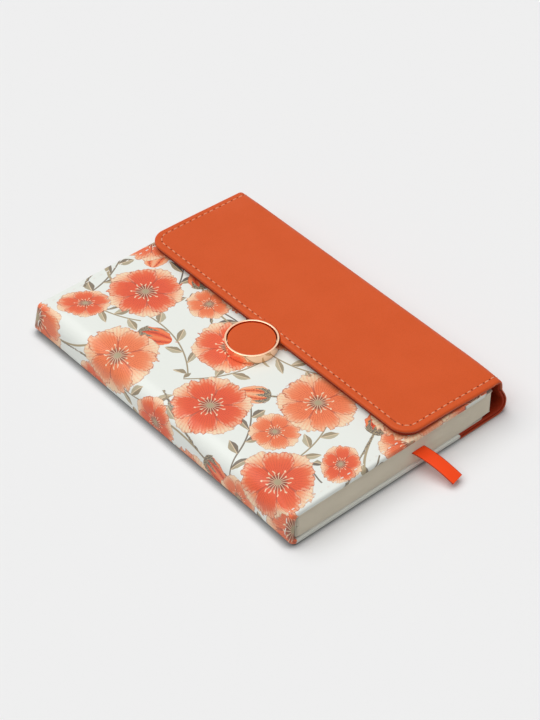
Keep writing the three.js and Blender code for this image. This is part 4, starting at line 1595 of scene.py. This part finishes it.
@dataclass
class LeatherWrap:
    """The leather wrap: flap, gusset and back leather, with their lining and stitches.

    Its section runs from the flap's free edge over the fold, down the gusset and round the foot.
    outline gives the gusset's outer side as millimetres in from its widest place and up from the
    table; sag gives how far the flap's ends sink at the places sag_at; thick gives the wall at the
    flap's edge, before and after its droop, past the fold and at the foot's two ends.
    """

    thickness: float = 3.4 * MM
    fold_r: float = 3.4 * MM
    fold_bead: float = 2.75 * MM
    foot_r: float = 1.9 * MM
    tilt: float = math.radians(1.4)
    reach: float = 48.5 * MM
    level: float = 34 * MM
    droop: float = 0.25 * MM
    corner_r: float = 8 * MM
    band: float = 4.3 * MM
    slab: float = 1.3 * MM
    groove: float = 0.15 * MM
    stitch_groove: float = 0.12 * MM
    skin: float = 0.9 * MM
    lining_top: float = 1.85 * MM
    lining_bottom: float = 2.7 * MM
    board: float = 0.8 * MM
    foot_overhang: float = 0.5 * MM
    lining_inset: float = 0.8 * MM
    foot_inset: float = 0.45 * MM
    stitch_inset: float = 2.8 * MM
    stitch_sunk: float = 0.1 * MM
    pitch: float = 3.1 * MM
    notch_gap: float = 0.3 * MM
    overhang: float = 0.1 * MM
    sag_band: float = 18 * MM
    sag_tail: float = 1.0
    sag_head: float = 0.35
    sag_at: tuple[float, ...] = (0, 14, 26, 35, 44.5, 50)
    sag: tuple[float, ...] = (0.3, 0.45, 0.7, 1.25, 1.4, 1.1)
    rest: float = 0.15 * MM
    outline: tuple[tuple[float, float], ...] = (
        (2.45, 13.87),
        (2.38, 12.18),
        (1.72, 10.43),
        (0.92, 8.84),
        (0.07, 6.4),
        (0.0, 4.68),
        (0.3, 2.94),
        (1.12, 1.57),
        (2.47, 0.47),
        (4.3, 0.0),
    )
    crease_at: int = 2
    stitches_to: int = 5
    widest: float = 0.53 * MM
    fold_in: float = 0.8 * MM
    top_steps: int = 25
    bend_steps: int = 12
    wall_steps: int = 6
    thick: tuple[float, ...] = (3.4, 3.3, 2.7, 1.5, 2.1, 2.2)
    stitch: Stitch = field(default_factory=Stitch)

    def __post_init__(self) -> None:
        """Reads the hinges' and the button's places from the frame and draws the section."""
        gusset, cup = Box.of("gusset_leather"), Box.of("button_cup")
        self.back = Box.of("back_leather")
        self.fold = (gusset.low.x + self.fold_bead, gusset.high.z - self.fold_bead)
        self.foot = (gusset.high.x - self.foot_r, gusset.low.z + self.foot_r)
        self.half = (gusset.size.y + self.overhang) / 2
        self.middle = gusset.middle.y - self.overhang / 2
        self.cover = Box.of("printed_cover").high
        self.button_r = cup.size.x / 2
        self.button = (self.reach + (cup.middle.x - self.fold[0]) / math.cos(self.tilt), cup.middle.y)
        self.section = self.drawn()
        self.bend_end = self.top_steps + self.bend_steps - 1
        self.crease = self.wall_length(self.crease_at)

    def wall_length(self, number: int) -> float:
        """Where on the section a point of the gusset's outline lies."""
        return float(self.section.length[self.bend_end + self.wall_steps * number])

    def drawn(self) -> Section:
        """Draws the section: the flap's top, its bend, the gusset's outline and the back leather.

        Returns:
            The section, with its wall's own thickness at each place.
        """
        (fold_x, fold_z), wide = self.fold, self.foot[0] + self.foot_r - self.widest
        along = np.array([math.cos(self.tilt), -math.sin(self.tilt)])
        normal = np.array([math.sin(self.tilt), math.cos(self.tilt)])
        free = np.array([fold_x, fold_z]) + normal * self.fold_bead - along * self.reach
        top = free + along * np.linspace(0, self.reach - self.fold_in, self.top_steps)[:, None]
        past = np.clip((top[:, 0] - self.level) / (fold_x - self.fold_in - self.level), 0, None)
        top[:, 1] -= self.droop * past**2
        slope = math.degrees(math.atan2(top[-1, 1] - top[-2, 1], top[-1, 0] - top[-2, 0]))
        lean = math.radians(90 + slope)
        centre = top[-1] - self.fold_r * np.array([math.cos(lean), math.sin(lean)])
        bend = arc(centre, self.fold_r, 90 + slope, 2, self.bend_steps)
        outline = np.array([(wide - x * MM, z * MM) for x, z in self.outline])
        wall = through(np.concatenate([bend[-1:], outline]), self.wall_steps)
        outer = np.concatenate([top[:-1], bend, wall[1:], [[self.back.low.x, self.back.low.z]]])
        ahead = np.gradient(outer, axis=0)
        ahead[0], ahead[-1] = outer[1] - outer[0], outer[-1] - outer[-2]
        ahead, length = unit(ahead), path_length(outer)
        inwards = np.stack([ahead[:, 1], -ahead[:, 0]], -1)
        last = self.top_steps + self.bend_steps - 1
        marks = length[[0, self.top_steps - 7, self.top_steps - 1, last, len(outer) - 2, len(outer) - 1]]
        thick = np.interp(length, marks, np.array(self.thick) * MM)
        return Section(outer, outer + inwards * thick[:, None], self.thickness)

    def place(self, flat: Array, depth: Array) -> Array:
        """Bends flat points along the section and lets the flap's ends sag and rest on the cover.

        At the tail and the head the flap sinks by sag times t squared, t running from 0 to 1 over
        the sag band; nothing of the flap sinks below the cover's top.

        Args:
            flat: distance along the section, and Y.
            depth: distance below the outer surface.

        Returns:
            Their places in the frame.
        """
        point = self.section.place(flat, depth)
        side = flat[:, 1] - self.middle
        t = np.clip((np.abs(side) - self.half + self.sag_band) / self.sag_band, 0, 1.2)
        most = np.interp(point[:, 0], np.array(self.sag_at) * MM, np.array(self.sag) * MM)
        most = most * np.where(side < 0, self.sag_tail, self.sag_head)
        upper = soft_step(point[:, 2], 0.55 * self.cover.z, self.cover.z)
        point[:, 2] -= most * t**2 * upper
        lower = 1 - soft_step(point[:, 2], 0, self.cover.z)
        point[:, 1] += self.foot_overhang * lower * np.clip(side / self.half, -1, 0)
        over = (point[:, 0] < self.cover.x + self.rest) & (upper > 0.5)
        point[:, 2] = np.maximum(point[:, 2], np.where(over, self.cover.z + self.rest, 0))
        return point

    def plan(self, start: float, end: float) -> Array:
        """The grid of a stretch of the wrap; the flap's free end has round corners.

        Args:
            start: where the stretch starts on the section.
            end: where it ends.

        Returns:
            The grid's flat points.
        """
        w, r, length = self.band, self.corner_r, self.section.length
        column = np.concatenate([length[(length > max(start, r)) & (length < end)], [end]])
        half = np.full(len(column), self.half - w)
        if start == 0:
            turn = np.linspace(0, math.pi / 2, 12)
            column = np.concatenate([r - (r - w) * np.cos(turn), column])
            half = np.concatenate([self.half - r + (r - w) * np.sin(turn), half])
        else:
            column, half = np.append(start, column), np.append(half[0], half)
        return plan_grid(column, half, 61, self.middle)

    def notch(self, plan: Array) -> Array:
        """How far the rim reaches at each border point: less where the button's notch is.

        Args:
            plan: the flap's grid.

        Returns:
            A share of the rim's width for each border point.
        """
        rows, columns = plan.shape[:2]
        reach = np.ones(2 * (rows + columns) - 4)
        away = plan[-2:0:-1, 0, 1] - self.button[1]
        edge = self.button[0] + np.sqrt(np.clip((self.button_r + self.notch_gap) ** 2 - away**2, 0, None))
        reach[2 * columns + rows - 2 :] = (self.band - np.clip(edge, 0, None)) / self.band
        return reach

    def sheets(self, outer: bool) -> tuple[Sheet, Sheet]:
        """The flap and upper gusset, and the lower gusset and back, of one layer.

        Args:
            outer: the outer leather; otherwise the lining.

        Returns:
            The two sheets, which meet at the crease.
        """
        if outer:
            sizes = {"groove": (self.stitch_groove, self.stitch_inset), "levels": (0, self.skin)}
            # edge values place the painted highlight line and the cut edge's colour, which is partly painted
            # shade
            rim = Rim.rolled(self.band, self.slab, 0.8 * MM, 0.1 * MM, edge=(0, 1), **sizes)
            crisp = Rim.rolled(self.band, self.slab, 0.4 * MM, 0.2 * MM, edge=(1, 0.5), **sizes)
        else:
            start = self.slab + self.groove
            wall, levels = self.thickness - start, (self.lining_top - start, self.lining_bottom - start)
            rim, crisp = (
                Rim.rolled(self.band - inset, wall, 0.45 * MM, 0.5 * MM, levels=levels).sunk(start)
                for inset in (self.lining_inset, self.foot_inset)
            )
        upper, lower = self.plan(0, self.crease), self.plan(self.crease, self.section.length[-1])
        row = self.band - self.stitch_inset
        return (
            Sheet(upper, rim, self.place, ("right",), row, self.pitch, self.notch(upper)),
            Sheet(lower, crisp, self.place, ("left", "right"), row, self.pitch),
        )

    def stiffener(self) -> Surface:
        """The card in the flap, between the leather and the lining, inside the stitches."""
        rim = Rim.rolled(0.3 * MM, self.board, 0.1 * MM, 0.1 * MM).sunk(self.skin + 0.05 * MM)
        return Sheet(self.plan(0, self.section.length[self.top_steps - 2]), rim, self.place).surface()

    def threads(self, sheet: Sheet, low: float, high: float, inside: bool = False) -> list[Surface]:
        """The stitches of a stretch of the wrap, at the tail and at the head.

        Args:
            sheet: the sheet of outer leather that they lie on.
            low: where the stretch starts on the section.
            high: where it ends.
            inside: whether the stitches show on the lining's side.

        Returns:
            The tail row and the head row.
        """
        loop = sheet.row_path()
        where = (np.arange(int(path_length(loop)[-1] / self.pitch)) + 0.5) * self.pitch
        along, y = at_length(loop, where).T
        clear = np.hypot(along - self.button[0], y - self.button[1]) > self.button_r + 0.5 * MM

        def line(distance: Array) -> Array:
            """The flat points at given distances along the row."""
            return at_length(loop, distance)

        def place(flat: Array, depth: Array) -> Array:
            """Places flat points on the leather, or on the lining's side."""
            return self.place(flat, self.thickness - depth if inside else depth + self.stitch_sunk)

        on = clear & (along > low) & (along < high)
        return [self.stitch.row(where[on & ((y - self.middle) * side > 0)], line, place) for side in (-1, 1)]

    def build(self, finishes: Finishes) -> list[bpy.types.Object]:
        """Makes the leather, the lining, the card and the stitches.

        Args:
            finishes: the materials.

        Returns:
            The pieces made.
        """
        made = []
        for outer, layer in ((True, "leather"), (False, "lining")):
            finish = getattr(finishes, layer)
            upper, lower = self.sheets(outer)
            replaced = [f"flap_{layer}", f"gusset_{layer}"]
            flap = make_piece(f"flap_and_gusset_{layer}", upper.surface(), finish, replaced)
            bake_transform(flap)
            back = make_piece(f"foot_and_back_{layer}", lower.surface(), finish, [f"back_{layer}"])
            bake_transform(back)
            made += [flap, back]
        made.append(make_piece("flap_stiffener", self.stiffener(), finishes.board, ["flap_board"], Body.FLAP))
        upper, lower = self.sheets(True)
        bend, crease = self.section.length[self.top_steps - 1], self.crease
        flap = self.threads(upper, 0, bend)
        gusset = [
            self.threads(upper, bend, crease - 0.5 * MM),
            self.threads(lower, crease, self.wall_length(self.stitches_to)),
            self.threads(upper, bend + self.fold_r, crease - 0.5 * MM, inside=True),
        ]
        for number, end in enumerate(("tail", "head")):
            replaced = [f"flap_stitching_{end}"]
            made.append(make_piece(f"flap_{end}_thread", flap[number], finishes.thread, replaced, Body.FLAP))
            rows = Surface.joined([rows[number] for rows in gusset])
            wall = make_piece(f"gusset_{end}_thread", rows, finishes.thread, [f"gusset_stitching_{end}"])
            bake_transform(wall)
            made.append(wall)
        return made


@dataclass
class Button:
    """The metal button: a turned cup with a leather disc set in it."""

    wall: float = 0.75 * MM
    floor: float = 0.5 * MM
    lip_r: float = 0.16 * MM
    foot_r: float = 0.35 * MM
    crown: float = 0.15 * MM
    skirt: float = 0.72 * MM
    raised: float = 0.3 * MM
    gap: float = 0.3 * MM

    def cup(self, box: Box) -> Array:
        """The cup: an outer wall that comes down round its base, a rounded lip, a bore and a floor.

        Args:
            box: the cup's place.

        Returns:
            Its profile.
        """
        radius, height, r = box.size.x / 2, box.size.z, self.lip_r
        bore, foot = radius - self.wall, self.foot_r - self.skirt
        parts = [
            [[0, -self.skirt], [radius * 0.5, -self.skirt]],
            arc((radius - self.foot_r, foot), self.foot_r, 270, 360, 6),
            arc((radius - r, height - r), r, 0, 90, 6),
            arc((bore + r, height - r), r, 90, 180, 6),
            [[bore, self.floor + r]],
            arc((bore - r, self.floor + r), r, 0, -90, 3),
            [[0, self.floor]],
        ]
        return np.concatenate(parts)

    def inset(self, box: Box) -> Array:
        """The leather disc: a rounded rim and a slight crown, h + c (1 - (r / R) squared).

        Args:
            box: the disc's place.

        Returns:
            Its profile.
        """
        radius, height, r = box.size.x / 2 - self.gap, box.size.z + self.raised, self.lip_r
        across = np.linspace(radius - r, 0, 14)
        top = height - self.crown + self.crown * (1 - (across / (radius - r)) ** 2)
        rim = arc((radius - r, height - self.crown - r), r, 0, 90, 6)
        return np.concatenate([[[0, 0], [radius, 0]], rim, np.stack([across, top], -1)[1:]])

    def build(self, finishes: Finishes) -> list[bpy.types.Object]:
        """Makes the cup and its inset.

        Args:
            finishes: the materials.

        Returns:
            The pieces made.
        """
        made = []
        parts = ("cup", self.cup, finishes.gold), ("inset", self.inset, finishes.inset)
        for name, profile, finish in parts:
            box = Box.of(f"button_{name}")
            surface = turned(profile(box))
            surface.points = surface.points + np.array([box.middle.x, box.middle.y, box.low.z])
            made.append(make_piece(name, surface, finish, [f"button_{name}"], Body.FLAP))
        return made


@dataclass
class Ribbon:
    """The ribbon: a strip between two sections, and the free end that hangs from it."""

    width: float = 6.2 * MM
    thickness: float = 0.3 * MM
    reach: float = 17.5 * MM
    drop: float = 5.3 * MM
    sag: float = 1.75
    turn: float = math.radians(13)
    clear: float = 0.06 * MM
    cup: float = 0.12 * MM
    band: float = 0.2 * MM
    edge_r: float = 0.12 * MM
    short: float = 1.5 * MM
    bend: float = 2.5 * MM

    def end(self, start: Array) -> Surface:
        """The free end, which starts parallel to the block's face.

        Args:
            start: the middle of the strip's end.

        Returns:
            Its surface.
        """
        ahead = np.array([math.sin(self.turn), -math.cos(self.turn), 0])
        side = np.array([math.cos(self.turn), math.sin(self.turn), 0])
        v = np.linspace(-1, 1, 17)[:, None] * (self.width / 2 - self.band)
        first = v * math.tan(self.turn) + self.clear + self.band
        u = first + np.linspace(0, 1, 64) * (self.reach - self.band - first)
        plan = np.stack([u, np.broadcast_to(v, u.shape)], -1)

        def place(flat: Array, depth: Array) -> Array:
            """Middle line + side v + up (cup - depth), the middle sinking as drop t to the power of sag."""
            t = np.clip(flat[:, 0] / self.reach, 0, None)
            slope = self.sag * self.drop / self.reach * t ** (self.sag - 1)
            up = unit(np.stack([slope * ahead[0], slope * ahead[1], np.ones(len(t))], -1))
            lift = self.cup * soft_step(t, 0, 0.5) * (1 - (2 * flat[:, 1] / self.width) ** 2)
            point = start + flat[:, :1] * ahead + flat[:, 1:] * side
            point[:, 2] -= self.drop * t**self.sag
            return point + up * (self.thickness / 2 + lift - depth)[:, None]

        return Sheet(plan, Rim.rolled(self.band, self.thickness, self.edge_r, self.edge_r), place).surface()

    def strip(self, box: Box) -> Surface:
        """The ribbon between the sections, from the tail to just short of the head.

        Args:
            box: the strip's place.

        Returns:
            Its surface.
        """
        band, edge_r = 0.1 * MM, 0.05 * MM
        along = np.linspace(box.low.y + band, box.high.y - self.short, 30)

        def place(flat: Array, depth: Array) -> Array:
            """Lays flat points along the book at a depth below the strip's top."""
            return np.stack([box.middle.x - flat[:, 1], flat[:, 0], box.high.z - depth], -1)

        rim = Rim.rolled(band, box.size.z, edge_r, edge_r)
        return Sheet(plan_grid(along, self.width / 2 - band, 5), rim, place).surface()

    def build(self, finishes: Finishes) -> list[bpy.types.Object]:
        """Makes the ribbon's free end, which bends over its first stretch, and its strip.

        Args:
            finishes: the materials.

        Returns:
            The pieces made.
        """
        inner = Box.of("ribbon_inner")
        start = (inner.middle.x, inner.low.y, inner.middle.z)
        ribbon = make_piece("ribbon_end", self.end(np.array(start)), finishes.ribbon, ["ribbon_tail"])
        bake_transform(ribbon)
        strip = self.strip(inner)
        return [ribbon, make_piece("ribbon_strip", strip, finishes.ribbon, ["ribbon_inner"], Body.BOOK)]


@dataclass(frozen=True)
class HiddenPieces:
    """The pieces of the frame that stay as they are and only get a finish."""

    board: tuple[str, ...] = ("front_board", "spine_card")
    endpaper: tuple[str, ...] = ("back_pastedown", "front_flyleaf", "front_pastedown")
    gauze: tuple[str, ...] = ("spine_lining",)
    gold: tuple[str, ...] = ("button_base",)
    steel: tuple[str, ...] = ("button_rivet_1", "button_rivet_2", "button_magnet", "catch_plate")

    def build(self, finishes: Finishes) -> list[bpy.types.Object]:
        """Dresses each carried-over node.

        Args:
            finishes: the materials.

        Returns:
            The pieces dressed.
        """
        dressed = []
        for finish in ("board", "endpaper", "gauze", "gold", "steel"):
            for node in getattr(self, finish):
                piece = bpy.data.objects[node]
                piece.data.materials.clear()
                piece.data.materials.append(getattr(finishes, finish).material)
                dressed.append(piece)
        return dressed


@dataclass(frozen=True)
class Studio:
    """The pale floor, the soft light and the camera."""

    floor: str = "efefef"
    dull: str = "e2e2e2"
    floor_half: float = 6.0
    floor_z: float = -0.02 * MM
    contact: float = 3.8 * MM
    contact_shade: float = 0.46
    sky: float = 0.27
    sun: float = 2.4
    sun_spread: float = math.radians(70)
    sun_from: tuple[float, float, float] = (-0.26, 0.17, 0.95)
    lens: float = 107.83
    sensor: float = 36
    azimuth: float = math.radians(-40.88)
    elevation: float = math.radians(42.6)
    distance: float = 837.09 * MM
    far_clip: float = 20
    aim: tuple[float, float, float] = (4.51 * MM, 4.5 * MM, 0)

    def build(self) -> None:
        """Sets the floor, the world, the sun and the camera."""
        bpy.context.scene.view_settings.view_transform = "Standard"
        self.lay_floor()
        self.light()
        self.set_camera()

    @staticmethod
    def seen(graph: Graph) -> Field:
        """1 for what the camera sees, also in metal or through glass."""
        return graph.ray("Camera").at_least(graph.ray("Glossy")).at_least(graph.ray("Transmission"))

    def lay_floor(self) -> None:
        """Lays a wide plain floor under the notebook, darker where the notebook shuts the sky out."""
        size, z = self.floor_half, self.floor_z
        mesh = bpy.data.meshes.new("floor")
        corners = [(-size, -size, z), (size, -size, z), (size, size, z), (-size, size, z)]
        mesh.from_pydata(corners, [], [(0, 1, 2, 3)])
        graph, material = new_material("floor")
        open_sky = graph.add("ShaderNodeAmbientOcclusion", (("Distance", self.contact),), "AO", samples=8)
        shade = graph.step(open_sky, 0.5, 0.97, self.contact_shade, 1)
        colour = graph.mix(self.seen(graph), self.dull, graph.mix(shade, "000000", self.floor))
        graph.give(Base_Color=colour, Roughness=0.9, Specular_IOR_Level=0.1)
        mesh.materials.append(material)
        floor = bpy.data.objects.new("floor", mesh)
        bpy.context.scene.collection.objects.link(floor)

    def light(self) -> None:
        """A soft sun from the left and behind, and an even sky that the camera sees as white."""
        world = bpy.data.worlds.new("studio")
        world.use_nodes = True
        bpy.context.scene.world = world
        graph = Graph(world.node_tree, world.node_tree.nodes["Background"])
        graph.give(Color="ffffff", Strength=graph.step(self.seen(graph), 0, 1, self.sky, 1))
        sun = bpy.data.lights.new("sun", "SUN")
        sun.energy, sun.angle = self.sun, self.sun_spread
        lamp = bpy.data.objects.new("sun", sun)
        lamp.rotation_euler = Vector(self.sun_from).to_track_quat("Z", "Y").to_euler()
        bpy.context.scene.collection.objects.link(lamp)

    def set_camera(self) -> None:
        """Sets the photo's camera, which looks at the aim along the azimuth and elevation."""
        level, up = math.cos(self.elevation), math.sin(self.elevation)
        back = Vector((math.sin(self.azimuth) * level, -math.cos(self.azimuth) * level, up))
        data = bpy.data.cameras.new("camera")
        data.lens, data.sensor_width = self.lens, self.sensor
        data.sensor_fit, data.clip_end = "AUTO", self.far_clip
        camera = bpy.data.objects.new("camera", data)
        camera.location = Vector(self.aim) + back * self.distance
        camera.rotation_euler = back.to_track_quat("Z", "Y").to_euler()
        bpy.context.scene.collection.objects.link(camera)
        bpy.context.scene.camera = camera


def main() -> None:
    """Builds the notebook piece by piece."""
    logging.basicConfig(level=logging.INFO, format="%(name)s %(message)s")
    case = PrintedCase()
    finishes = Finishes.build(case.bare())
    for assembly in (case, PageBlock(), LeatherWrap(), Button(), Ribbon(), HiddenPieces()):
        pieces = assembly.build(finishes)
        LOG.info("%s: %d pieces", type(assembly).__name__, len(pieces))
    Studio().build()


if __name__ == "__main__":
    main()
